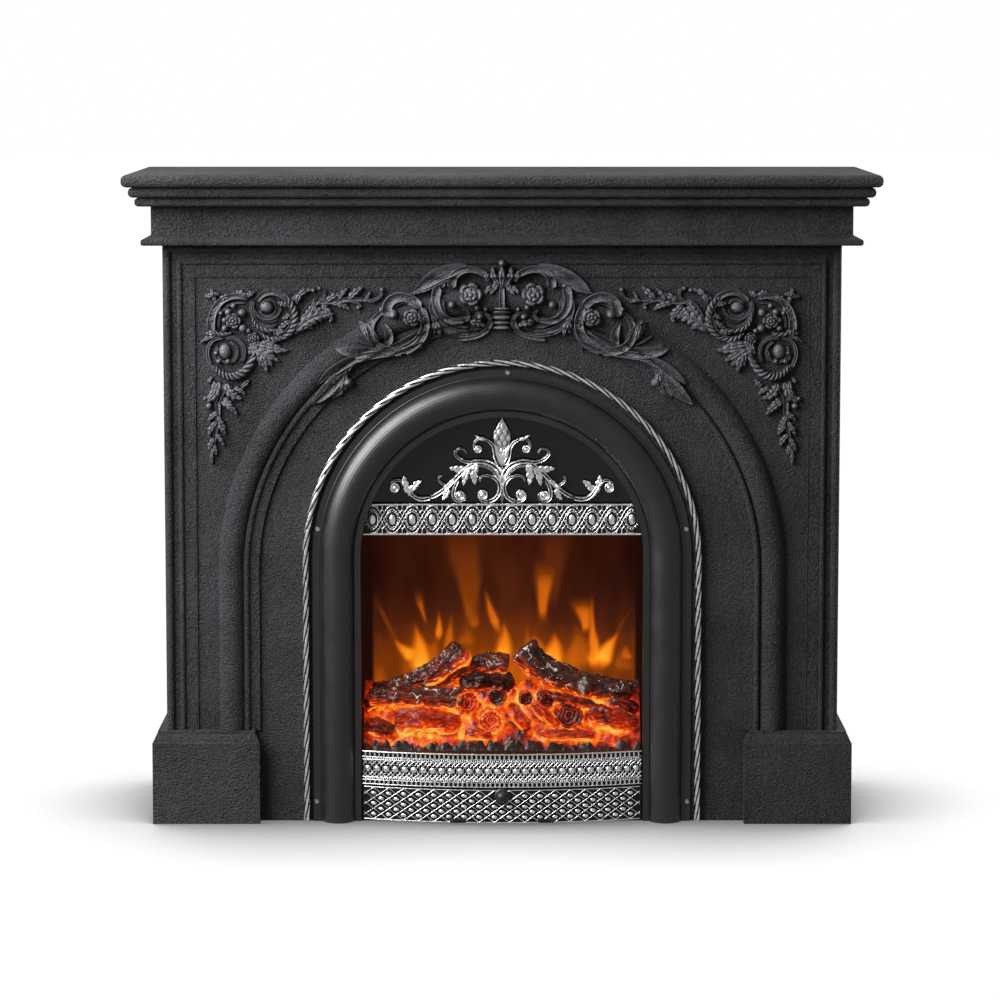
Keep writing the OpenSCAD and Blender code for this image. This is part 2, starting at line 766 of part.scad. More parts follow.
module ember_stand() {
    leg = 40;
    window_x = 180;
    color("#3b3c3f") difference() {
        union() {
            translate([-opening_r, panel_y, stand_z]) cube([2 * opening_r, lip_back - panel_y + eps, sheet_t]);
            translate([-shell_in, lip_back, stand_z])
                cube([2 * shell_in, screen_y + screen_t + 3 - lip_back, sheet_t]);
            for (s = [0, 1]) mirror([s, 0, 0]) translate([shell_in - leg, screen_y + screen_t + 1.5, 2])
                cube([leg, sheet_t, stand_z - 2 + eps]);
        }
        translate([-window_x, -75, stand_z - 1]) cube([2 * window_x, 70, sheet_t + 2]);
    }
}

// The outline of the ember bed, seen from above
module bed_outline(inset) {
    difference() {
        union() {
            intersection() {
                translate([0, bow_cy]) circle(bow_r - fret_t - inset);
                translate([-opening_r + 1, face_y - bow_rise]) square([2 * opening_r - 2, screen_y - face_y + bow_rise]);
            }
            translate([-shell_in + 2, lip_back + 0.5]) square([2 * shell_in - 4, screen_y - lip_back - 0.5]);
        }
        translate([-300, screen_y - gap]) square([600, 60]);
    }
}

// A point of the fire picture, from its place before the screen and over the stand
function at_fire(p) = [p[0], screen_y + p[1], stand_h + p[2]];

// Lumps of the ember bed in three rising rows: their middles and radii
function lumps() = [for (i = [0:8]) [[-192 + 48 * i, -110 - 14 * sin(22.5 * i), 4], 30 + 5 * sin(137 * i)],
    for (i = [0:7]) [[-170 + 48 * i, -80, 42], 36 + 5 * sin(101 * i + 40)],
    for (i = [0:7]) [[-175 + 50 * i, -52, 62], 43 + 4 * sin(77 * i)]];

module ember_bed() {
    slab = 16;
    heap_h = 112;
    color("#c2410c") difference() {
        union() {
            translate([0, 0, stand_h]) linear_extrude(slab) bed_outline(1);
            intersection() {
                for (p = lumps()) translate(at_fire(p[0])) sphere(p[1]);
                translate([0, 0, stand_h + slab - 2]) linear_extrude(heap_h) bed_outline(6);
            }
        }
        logs_room(gap);
    }
}

// A straight limb between two points, with its radii at both ends
module log_limb(p0, p1, r0, r1) {
    d = p1 - p0;
    translate(p0) rotate([0, acos(d[2] / norm(d)), atan2(d[1], d[0])])
        cylinder(r1 = r0, r2 = r1, h = norm(d));
}

// A log of two limbs that meet in a knot, from three points and the radius at each
module log_shape(p, r) {
    knot = 1;
    for (i = [0, 1]) log_limb(at_fire(p[i]), at_fire(p[i + 1]), r[i], r[i + 1]);
    translate(at_fire(p[1])) sphere(r[1] + knot);
}

module back_log_shape(more) {
    log_shape([[-106, -40, 116], [-50, -41, 131], [8, -42, 143]], [15, 16, 15] + more * [1, 1, 1]);
}

module left_log_shape(more) {
    log_shape([[-206, -68, 112], [-104, -66, 129], [-66, -62, 164]], [13, 16, 19] + more * [1, 1, 1]);
}

module right_log_shape(more) {
    log_shape([[206, -68, 101], [100, -66, 117], [34, -62, 156]], [17, 22, 23] + more * [1, 1, 1]);
}

module front_log_shape(more) {
    log_limb(at_fire([-212, -92, 97]), at_fire([-62, -90, 88]), 14 + more, 20 + more);
}

module logs_room(more) {
    back_log_shape(more);
    left_log_shape(more);
    right_log_shape(more);
    front_log_shape(more);
}

module log_back() {
    color("#3a2418") back_log_shape(0);
}

module log_left() {
    color("#3a2418") difference() {
        left_log_shape(0);
        back_log_shape(gap);
    }
}

module log_right() {
    color("#3a2418") difference() {
        right_log_shape(0);
        back_log_shape(gap);
        left_log_shape(gap);
    }
}

module log_front() {
    color("#3a2418") difference() {
        front_log_shape(0);
        back_log_shape(gap);
        left_log_shape(gap);
        right_log_shape(gap);
    }
}

// The upper band stands on the dark sheet and fills the opening from side to side
module upper_band() {
    band_d = 9;
    rim = 4;
    mid = band_z + band_h / 2;
    cells = 6;
    color("silver") {
        along_y(lip_back - band_d, lip_back - band_d + fret_t) difference() {
            intersection() {
                arch_outline(opening_r - gap, 0);
                translate([-opening_r, band_z]) square([2 * opening_r, band_h]);
            }
            for (i = [-cells:cells]) for (s = [-1, 1]) {
                polygon(diamond_pts([i * oval_pitch, mid + s * 17.5], 5, 4));
                polygon(diamond_pts([i * oval_pitch - 9, mid + s * 19], 3, 3));
                polygon(diamond_pts([i * oval_pitch + 9, mid + s * 19], 3, 3));
            }
        }
        for (z = [band_z, band_z + band_h - rim]) along_y(lip_back - band_d - 1.5, lip_back) intersection() {
            arch_outline(opening_r - gap, 0);
            translate([-opening_r, z]) square([2 * opening_r, rim]);
        }
        for (i = [-cells:cells + 1]) {
            c = [(i - 0.5) * oval_pitch, mid];
            along_y(lip_back - band_d - 1.5, lip_back - band_d + eps) difference() {
                intersection() {
                    arch_outline(opening_r - 1, 0);
                    polygon(oval_pts(c, 10.5, 15.5));
                }
                polygon(oval_pts(c, 8, 12.5));
            }
            along_y(lip_back - band_d - 2.5, lip_back - band_d + eps) intersection() {
                arch_outline(opening_r - 1, 0);
                polygon(oval_pts(c, 6, 9.5));
            }
        }
    }
}

module fret_stroke(p, w0, w1) {
    linear_extrude(fret_t) polygon(stroke_pts(p, w0, w1));
}

module fret_leaf(p0, p1, w, b) {
    linear_extrude(fret_t) polygon(leaf_pts(p0, p1, w, b, 2));
}

module fret_curl(c, r0, r1, a0, a1, w0, w1) {
    linear_extrude(fret_t) polygon(scroll_pts(c, r0, r1, a0, a1, w0, w1, 16));
}

module fret_ball(c, r) {
    translate(c) cylinder(r = r, h = fret_t + 1);
}

// Half of the scrolled fret, from the middle outwards, over the band's top edge
module fret_half() {
    fret_stroke([[27, 2], [-8, 8], [-8, 62], [32, 65]], 6, 6.5);
    fret_stroke([[30, 65], [50, 69], [84, 64], [74, 82]], 6.5, 4.5);
    fret_curl([67.5, 79], 8, 6, 0, 175, 4.5, 3);
    fret_ball([60, 80], 3.4);
    fret_curl([28, 12], 10, 5, -110, 200, 5, 3.5);
    fret_ball([28, 12], 4);
    fret_stroke([[10, 11], [8, 34], [22, 50], [38, 38]], 5, 2.5);
    fret_stroke([[30, 65], [62, 64], [78, 18], [118, 2.8]], 6, 6);
    fret_stroke([[114, 3.6], [138, -2], [150, 18], [137, 32]], 6, 3.5);
    fret_stroke([[140, 9], [146, 34], [168, 44], [178, 30]], 5, 3.2);
    fret_ball([176, 27], 3.8);
    fret_ball([134, 31], 3.4);
    fret_leaf([144, 16], [156, 44], 9, 2);
    fret_curl([69, 10.5], 9.2, 4, -190, 150, 3.6, 2.8);
    fret_ball([69, 10.5], 4.3);
    fret_stroke([[60, 12], [56, 20], [74, 26], [80, 32]], 4.5, 4);
    fret_leaf([48, 62], [42, 30], 11, -3);
    fret_leaf([56, 58], [64, 28], 11, -2);
    fret_leaf([58, 51.6], [86, 54], 9, 3);
    fret_leaf([80, 32], [98, 8], 8, -3);
    fret_stroke([[80, 34], [88, 44], [106, 48], [102, 34]], 4.5, 3);
    fret_ball([101, 36], 3.2);
    fret_stroke([[3, 64], [6, 92], [20, 108], [34, 106]], 8, 4);
    fret_stroke([[33, 106], [46, 102], [46, 86], [37, 87]], 4, 3.5);
    fret_ball([35, 89], 4);
}

module crest_fret() {
    color("silver") difference() {
        translate([0, lip_back - 3, band_z + band_h]) rotate([90, 0, 0]) {
            both_sides() fret_half();
            linear_extrude(fret_t) polygon([[-3, -1], [3, -1], [3, 60], [6, 61], [9, 92], [0, 104],
                [-9, 92], [-6, 61], [-3, 60]]);
            linear_extrude(fret_t + 2) polygon(leaf_pts([0, 88], [0, 139], 29, 0, 2));
        }
        translate([-opening_r, face_y, band_z + band_h - 20]) cube([2 * opening_r, lip_depth, 20]);
    }
}

// Depth of the bow's face at x, where out is how far a layer stands over it
function bow_y(x, out) = bow_cy - sqrt(pow(bow_r + out, 2) - x * x);

// A bowed strip with one flat facet for each bead
module bow_plate(z0, z1, half, back, front) {
    facets = 2 * bow_beads;
    xs = [for (i = [0:facets]) half * (2 * i / facets - 1)];
    translate([0, 0, z0]) linear_extrude(z1 - z0) polygon(concat(
        [for (x = xs) [x, bow_y(x, front)]],
        [for (i = [facets:-1:0]) [xs[i], bow_y(xs[i], -back)]]));
}

// The holes of the bowed band, seen from the front, as one outline with many loops
module band_holes() {
    mid = (bow_top + flap_top) / 2;
    holes = [
        for (i = [-bow_beads:bow_beads - 1]) for (s = [-1, 1])
            diamond_pts([(i + 0.5) * bead_pitch, mid + s * 11.5], 3, 4.5),
        for (i = [-bow_beads + 1:bow_beads - 1]) for (s = [-1, 1])
            diamond_pts([i * bead_pitch, mid + s * 7], 2.4, 4.5),
        for (i = [-bow_beads + 1:bow_beads - 1]) for (z = [flap_top + 5.5, bow_top - 5.5])
            diamond_pts([i * bead_pitch, z], 3, 2.6)];
    polygon(points = [for (h = holes) for (p = h) p],
        paths = [for (i = [0:len(holes) - 1]) [for (j = [0:3]) 4 * i + j]]);
}

module bowed_band() {
    mid = (bow_top + flap_top) / 2;
    color("silver") {
        difference() {
            bow_plate(flap_top, bow_top, bow_half, fret_t, 0);
            along_y(face_y - bow_rise - 20, face_y + 20) band_holes();
        }
        bow_plate(bow_top - 2.4, bow_top, bow_half, fret_t, 1.2);
        bow_plate(flap_top, flap_top + 2, bow_half, fret_t, 0.8);
        for (i = [-bow_beads:bow_beads - 1]) {
            x = (i + 0.5) * bead_pitch;
            translate([x, bow_y(x, 0) + 1, mid]) sphere(4.6, $fn = 24);
        }
    }
}

// The diamonds of the flap's relief, seen from the front, as one outline with many loops
module flap_diamonds() {
    wide = floor(flap_half / diamond_w);
    rows = floor((flap_top - flap_gap - flap_z - 2) / (diamond_h / 2)) - 1;
    cells = [for (row = [0:rows - 1]) for (i = [-wide:wide])
        let (x = (i + (row % 2) / 2) * diamond_w) if (abs(x) < flap_half - diamond_w / 2)
            diamond_pts([x, flap_z + 1 + (row + 1) * diamond_h / 2], diamond_w / 2 - 1.5, diamond_h / 2 - 1.1)];
    polygon(points = [for (c = cells) for (p = c) p],
        paths = [for (i = [0:len(cells) - 1]) [for (j = [0:3]) 4 * i + j]]);
}

module fret_flap() {
    top = flap_top - flap_gap;
    color("silver") difference() {
        union() {
            bow_plate(flap_z, top, flap_half, fret_t, -fret_t / 2);
            difference() {
                bow_plate(flap_z, top, flap_half, fret_t / 2, 0);
                along_y(face_y - bow_rise - 20, face_y + 20) flap_diamonds();
            }
            both_sides() translate([knuckle_x, hinge_y, hinge_z]) rotate([0, 90, 0])
                cylinder(r = knuckle_r, h = lug_x - 0.5 - knuckle_x);
            translate([0, bow_cy - bow_r + fret_t, knob_z]) rotate([90, 0, 0]) cylinder(r = 9, h = fret_t + 0.5);
        }
        both_sides() {
            translate([lug_x - 0.5, hinge_y - 10, 0]) cube([lug_t + 1, 30, hinge_z + knuckle_r + 1.5]);
            translate([knuckle_x - 1, hinge_y, hinge_z]) rotate([0, 90, 0])
                cylinder(d = hinge_pin_d + 2 * running, h = 30);
        }
        translate([0, face_y, knob_z]) rotate([90, 0, 0]) cylinder(d = 4.2, h = 60);
    }
}

module flap_knob() {
    front = bow_rise + 0.5;
    color("#141415") translate([0, face_y - front, knob_z]) rotate([90, 0, 0]) {
        rotate_extrude() polygon(concat([[0, -4.5], [2, -4.5], [2, 0], [knob_d / 2 - 2, 0],
            [knob_d / 2, 2], [knob_d / 2 - 2, 4], [5, 5], [5, 7]], arc_pts(0, 9.5, 8.5, -16, 90, 8)));
    }
}

module flap_brackets() {
    color("#3b3c3f") both_sides() difference() {
        union() {
            along_x(lug_x, lug_x + lug_t) {
                translate([hinge_y, hinge_z]) circle(knuckle_r);
                polygon([[hinge_y, 2.5], [hinge_y + 10, 2], [hinge_y + 28, 2], [hinge_y + 28, 4],
                    [hinge_y + 12, hinge_z + 3], [hinge_y, hinge_z + knuckle_r]]);
            }
            translate([lug_x, hinge_y + 11, 2]) cube([lug_t + 14, 17, 1.5]);
        }
        translate([lug_x - 1, hinge_y, hinge_z]) rotate([0, 90, 0]) cylinder(d = hinge_pin_d, h = lug_t + 2);
    }
}

module hinge_pins() {
    color("#a9aaad") both_sides() translate([knuckle_x + 1, hinge_y, hinge_z]) rotate([0, 90, 0])
        cylinder(d = hinge_pin_d, h = lug_x + lug_t - knuckle_x - 1);
}

module control_panel() {
    color("#1d1d1f") along_y(panel_y, panel_y + sheet_t) difference() {
        translate([-opening_r + 1, 2]) square([2 * opening_r - 2, stand_z - 2]);
        for (i = [0:2]) translate([switch_x + i * switch_pitch - rocker_w / 2 - 2.5 - 0.2, control_z - 7.7])
            square([rocker_w + 5.4, 15.4]);
        translate([dial_x, control_z]) circle(5.1);
    }
}

module switch_bodies() {
    body_half = rocker_w / 2 + 2.5;
    color("#101011") for (i = [0:2]) translate([switch_x + i * switch_pitch, 0, control_z]) difference() {
        union() {
            translate([-body_half, panel_y, -7.5]) cube([2 * body_half, 20, 15]);
            translate([-body_half - 2, panel_y - 1.5, -9.5]) cube([2 * body_half + 4, 1.5, 19]);
        }
        translate([-rocker_w / 2 - gap, panel_y - 2, -rocker_h / 2 - 0.8])
            cube([rocker_w + 2 * gap, 15, rocker_h + 1.6]);
        translate([-body_half + 0.8, rocker_y, 0]) rotate([0, 90, 0])
            cylinder(d = 3 + 2 * running, h = 2 * body_half - 1.6);
    }
}

module rocker(i) {
    h = rocker_h / 2;
    color("#c8231c") translate([switch_x + i * switch_pitch, rocker_y, control_z]) {
        rotate([-rocker_tilt, 0, 0]) along_x(-rocker_w / 2, rocker_w / 2)
            polygon([[3, -3], [3, 3], [0, h], [-6, h], [-4.5, 0], [-6, -h], [0, -h]]);
        rotate([0, 90, 0]) cylinder(d = 3, h = rocker_w + 3, center = true);
    }
}

module rocker_flame() {
    rocker(0);
}

module rocker_heat_low() {
    rocker(1);
}

module rocker_heat_high() {
    rocker(2);
}

module thermostat_body() {
    color("#8f9195") translate([dial_x, panel_y, control_z]) rotate([90, 0, 0]) difference() {
        union() {
            translate([0, 0, -22]) cylinder(d = 24, h = 22 - sheet_t);
            translate([0, 0, -sheet_t - 1]) cylinder(d = 10, h = sheet_t + 6);
            cylinder(d = 14, h = 2, $fn = 6);
        }
        translate([0, 0, -14]) cylinder(d = dial_shaft_d + 2 * running, h = 30);
    }
}

module thermostat_dial() {
    color("#1a1a1b") translate([dial_x, panel_y - 5.6, control_z]) rotate([90, 0, 0]) {
        difference() {
            union() {
                cylinder(d = dial_d, h = 4);
                cylinder(d1 = dial_d - 5, d2 = dial_d - 7, h = 12);
            }
            translate([-0.6, 4, 9]) cube([1.2, dial_d / 2, 5]);
            translate([0, 0, -1]) cylinder(d = 16, h = 1.5);
        }
        translate([0, 0, -18]) cylinder(d = dial_shaft_d, h = 19);
    }
}

// The duct's section: a scroll round the fan that narrows to the mouth
module duct_section(t) {
    translate([fan_y, fan_z]) circle(scroll_r - t);
    polygon([[mouth_y - (t > 0 ? 1 : 0), mouth_low + t], [fan_y, mouth_low + t],
        [fan_y, fan_z + scroll_r - 0.6 - t], [mouth_y - (t > 0 ? 1 : 0), mouth_high - t]]);
}

module heater_duct() {
    color("#9a9c9f") {
        along_x(-duct_half, duct_half) difference() {
            duct_section(0);
            duct_section(duct_t);
        }
        both_sides() along_x(duct_half - duct_t, duct_half) difference() {
            union() {
                duct_section(0);
                translate([fan_y - 60, heater_z + sheet_t]) square([90, mouth_low - heater_z - sheet_t + 2]);
            }
            translate([fan_y, fan_z]) circle(20);
        }
    }
}

module heating_element() {
    y0 = mouth_y + 26;
    z0 = mouth_low + duct_t;
    half = duct_half - duct_t - gap;
    color("#b08d57") {
        both_sides() translate([half - 1.5, y0, z0]) cube([1.5, 26, 26]);
        for (i = [0:1]) for (j = [0:2]) translate([0, y0 + 7 + 12 * i, z0 + 6 + 7 * j]) rotate([0, 90, 0])
            cylinder(d = 4, h = 2 * half - 2, center = true);
    }
}

module fan_wheel() {
    disc_t = 1.5;
    color("#c9cacc") translate([0, fan_y, fan_z]) rotate([0, 90, 0]) {
        cylinder(d = shaft_d, h = 2 * duct_half + 24, center = true);
        for (s = [-1, 0, 1]) translate([0, 0, s * (fan_l - disc_t) / 2]) cylinder(d = fan_d, h = disc_t, center = true);
        for (i = [0:fan_blades - 1]) rotate(360 * i / fan_blades) translate([fan_d / 2 - 4.5, 0, 0])
            rotate(35) cube([6, 0.8, fan_l - disc_t], center = true);
    }
}

// The bar that carries a bush or a motor across the duct's cheek
module carrier_bar(t) {
    translate([-27, -5, 0]) cube([54, 10, t]);
}

module fan_motor() {
    color("#6d6f73") translate([duct_half, fan_y, fan_z]) rotate([0, 90, 0]) difference() {
        union() {
            carrier_bar(3);
            translate([0, 0, 3 - eps]) cylinder(d = 42, h = 26);
            translate([0, 0, 29 - 2 * eps]) cylinder(d = 14, h = 4);
        }
        translate([0, 0, -1]) cylinder(d = shaft_d + 2 * running, h = 20);
    }
}

module fan_bearing() {
    color("#b08d57") translate([-duct_half, fan_y, fan_z]) rotate([0, -90, 0]) difference() {
        union() {
            carrier_bar(3);
            translate([0, 0, 3 - eps]) cylinder(d = 14, h = 8);
        }
        translate([0, 0, -1]) cylinder(d = shaft_d + 2 * running, h = 20);
    }
}

module flame_spindle() {
    spread = 2 * (rod_half - 20) / (paddle_count - 1);
    color("#d5d7d9") translate([0, rod_y, rod_z]) rotate([0, 90, 0]) {
        cylinder(d = shaft_d, h = 2 * rod_half + 16, center = true);
        for (i = [0:paddle_count - 1]) translate([0, 0, -rod_half + 20 + i * spread]) rotate(70 * i) {
            cylinder(d = shaft_d + 5, h = 6, center = true);
            rotate([0, 24, 0]) translate([0, -9, -0.5]) cube([paddle_r, 18, 1]);
            rotate([0, 24, 180]) translate([0, -9, -0.5]) cube([paddle_r, 18, 1]);
        }
    }
}

// A sheet bracket that stands on the base tray and holds the flame rod's end
module rod_bracket() {
    translate([rod_half + 2, rod_y - 15, 2]) cube([2, 30, rod_z + 15 - 2]);
    translate([rod_half + 2, rod_y - 15, 2]) cube([14, 30, 1.5]);
}

module spindle_motor() {
    color("#6d6f73") difference() {
        union() {
            rod_bracket();
            translate([rod_half + 4 - eps, rod_y, rod_z]) rotate([0, 90, 0]) cylinder(d = 36, h = 20);
        }
        translate([rod_half, rod_y, rod_z]) rotate([0, 90, 0]) cylinder(d = shaft_d + 2 * running, h = 16);
    }
}

module spindle_bearing() {
    color("#b08d57") mirror([1, 0, 0]) difference() {
        union() {
            rod_bracket();
            translate([rod_half + 4 - eps, rod_y, rod_z]) rotate([0, 90, 0]) cylinder(d = 14, h = 7);
        }
        translate([rod_half, rod_y, rod_z]) rotate([0, 90, 0]) cylinder(d = shaft_d + 2 * running, h = 16);
    }
}

module led_board() {
    board_z = 40;
    color("#2f6b3c") translate([0, -42, 0]) {
        translate([-190, -14, board_z]) cube([380, 28, 1.6]);
        for (x = [-180, -60, 60, 180]) translate([x, 0, 2]) cylinder(d = 6, h = board_z - 2);
        for (i = [0:11]) translate([-165 + 30 * i, 6, board_z + 1.6]) cylinder(d1 = 5, d2 = 3, h = 4);
    }
}

function standoff_places() = [for (x = [95, 195]) for (z = [30, 90]) [x, z]];

module control_board() {
    board_y = firebox_back - 14;
    color("#2f6b3c") difference() {
        union() {
            translate([88, board_y, 24]) cube([114, 1.6, 72]);
            translate([100, board_y - 16, 40]) cube([26, 16, 22]);
            translate([138, board_y - 22, 36]) cube([20, 22, 40]);
            translate([108, board_y - 12, 74]) cube([60, 12, 14]);
        }
        for (p = standoff_places()) translate([p[0], board_y, p[1]]) rotate([90, 0, 0])
            cylinder(d = 3.2, h = 10, center = true);
    }
}

module board_standoffs() {
    color("#d9d2b8") for (p = standoff_places()) translate([p[0], firebox_back, p[1]]) rotate([90, 0, 0]) {
        cylinder(d = 7, h = 14 - 1.6);
        translate([0, 0, -sheet_t - 1]) cylinder(d = 3, h = 20);
    }
}

module cord_gland() {
    color("#111112") translate([-gland_x, firebox_back, gland_z]) rotate([-90, 0, 0]) difference() {
        union() {
            translate([0, 0, sheet_t]) cylinder(d = 18, h = 8);
            translate([0, 0, -6]) cylinder(d = 12, h = 8);
            translate([0, 0, -6]) cylinder(d = 17, h = 6, $fn = 6);
        }
        translate([0, 0, -7]) cylinder(d = 7.5, h = 30);
    }
}

shelf_board();
bed_moulding();
frieze_box();
frieze_moulding();
front_panel();
side_panel_left();
side_panel_right();
border_moulding();
arch_moulding();
plinth_left();
plinth_right();
corner_ornament_left();
corner_ornament_right();
crest_ornament();
rope_trim();
wall_rail();
floor_rail();
corner_blocks();
frame_left();
frame_right();
frame_screws();
firebox_shell();
base_tray();
rear_cover();
cover_screws();
upper_plate();
heater_shelf();
flame_screen();
ember_stand();
ember_bed();
log_back();
log_left();
log_right();
log_front();
upper_band();
crest_fret();
bowed_band();
fret_flap();
flap_knob();
flap_brackets();
hinge_pins();
control_panel();
switch_bodies();
rocker_flame();
rocker_heat_low();
rocker_heat_high();
thermostat_body();
thermostat_dial();
heater_duct();
heating_element();
fan_wheel();
fan_motor();
fan_bearing();
flame_spindle();
spindle_motor();
spindle_bearing();
led_board();
control_board();
board_standoffs();
cord_gland();
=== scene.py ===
import bpy
from math import acos, atan2, copysign, cos, exp, hypot, pi, radians, sin, sqrt
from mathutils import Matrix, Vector, noise


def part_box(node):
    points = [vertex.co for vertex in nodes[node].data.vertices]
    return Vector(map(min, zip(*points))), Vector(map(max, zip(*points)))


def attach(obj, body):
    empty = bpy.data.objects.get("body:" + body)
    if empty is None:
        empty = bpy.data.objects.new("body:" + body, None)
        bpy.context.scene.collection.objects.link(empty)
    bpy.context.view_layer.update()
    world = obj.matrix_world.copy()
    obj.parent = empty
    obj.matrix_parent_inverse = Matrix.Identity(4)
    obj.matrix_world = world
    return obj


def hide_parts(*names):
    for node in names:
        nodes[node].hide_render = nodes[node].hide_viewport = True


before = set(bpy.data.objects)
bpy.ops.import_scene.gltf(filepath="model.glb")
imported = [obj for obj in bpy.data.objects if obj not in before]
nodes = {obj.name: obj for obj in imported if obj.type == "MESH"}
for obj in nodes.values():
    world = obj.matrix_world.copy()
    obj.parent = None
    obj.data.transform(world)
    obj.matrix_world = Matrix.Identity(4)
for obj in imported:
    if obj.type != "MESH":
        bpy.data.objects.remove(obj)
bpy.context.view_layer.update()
MM = 0.001

# The fireplace in millimetres, as the frame has it: the front board, the arched opening and what surrounds it
FACE = -107.0
SPRING = 431.5
OPENING_R = 228.0
ROPE_R = 316.0
ROPE_THICK = 5.4
ROPE_LAY = 118
ARCH_Z = 411.0
ARCH_BAND, ARCH_BEAD, ARCH_ROLL, ARCH_OUT = 391, 406, 416, 456
HEAD_Z = 884.5

# The silver frets: band with ovals, scrolled fret, bowed band and drop-down flap
FRET_BACK = -92.5
BAND_BACK = -95
BAND_Z = 466.0
BAND_H = 52.0
BAND_MID = BAND_Z + BAND_H / 2
BAND_RIM = 3.8
BAND_EDGE = 22.4
OVAL_PITCH = 32.2
BOW_RISE = 28.0
BOW_R = (OPENING_R ** 2 + BOW_RISE ** 2) / (2 * BOW_RISE)
BOW_CENTRE = FACE + BOW_R - BOW_RISE
BOW_TOP = 117.0
CELL = 15.0
CELLS = 30
GRAIN_PITCH = 3.04
FLAP_HIGH = 58.5
KNOB_Z = 48.5
NET_X, NET_Z = 24.5, 17.2

# The fire: sides of the lit picture, front edge and height of the charred ledge before the embers
PICTURE_LEFT, PICTURE_RIGHT = -216, 223
LEDGE_FRONT = -103
LEDGE_H = 18

# Studio: camera, and how strongly the white surroundings light the piece and mirror in it
CAMERA_AT = (-0.0033, -4.838, 1.2523)
CAMERA_DOWN = 5.27
CAMERA_LENS = 107.0
CAMERA_SHIFT = -0.18
AMBIENT = 0.095
MIRRORED = 0.36


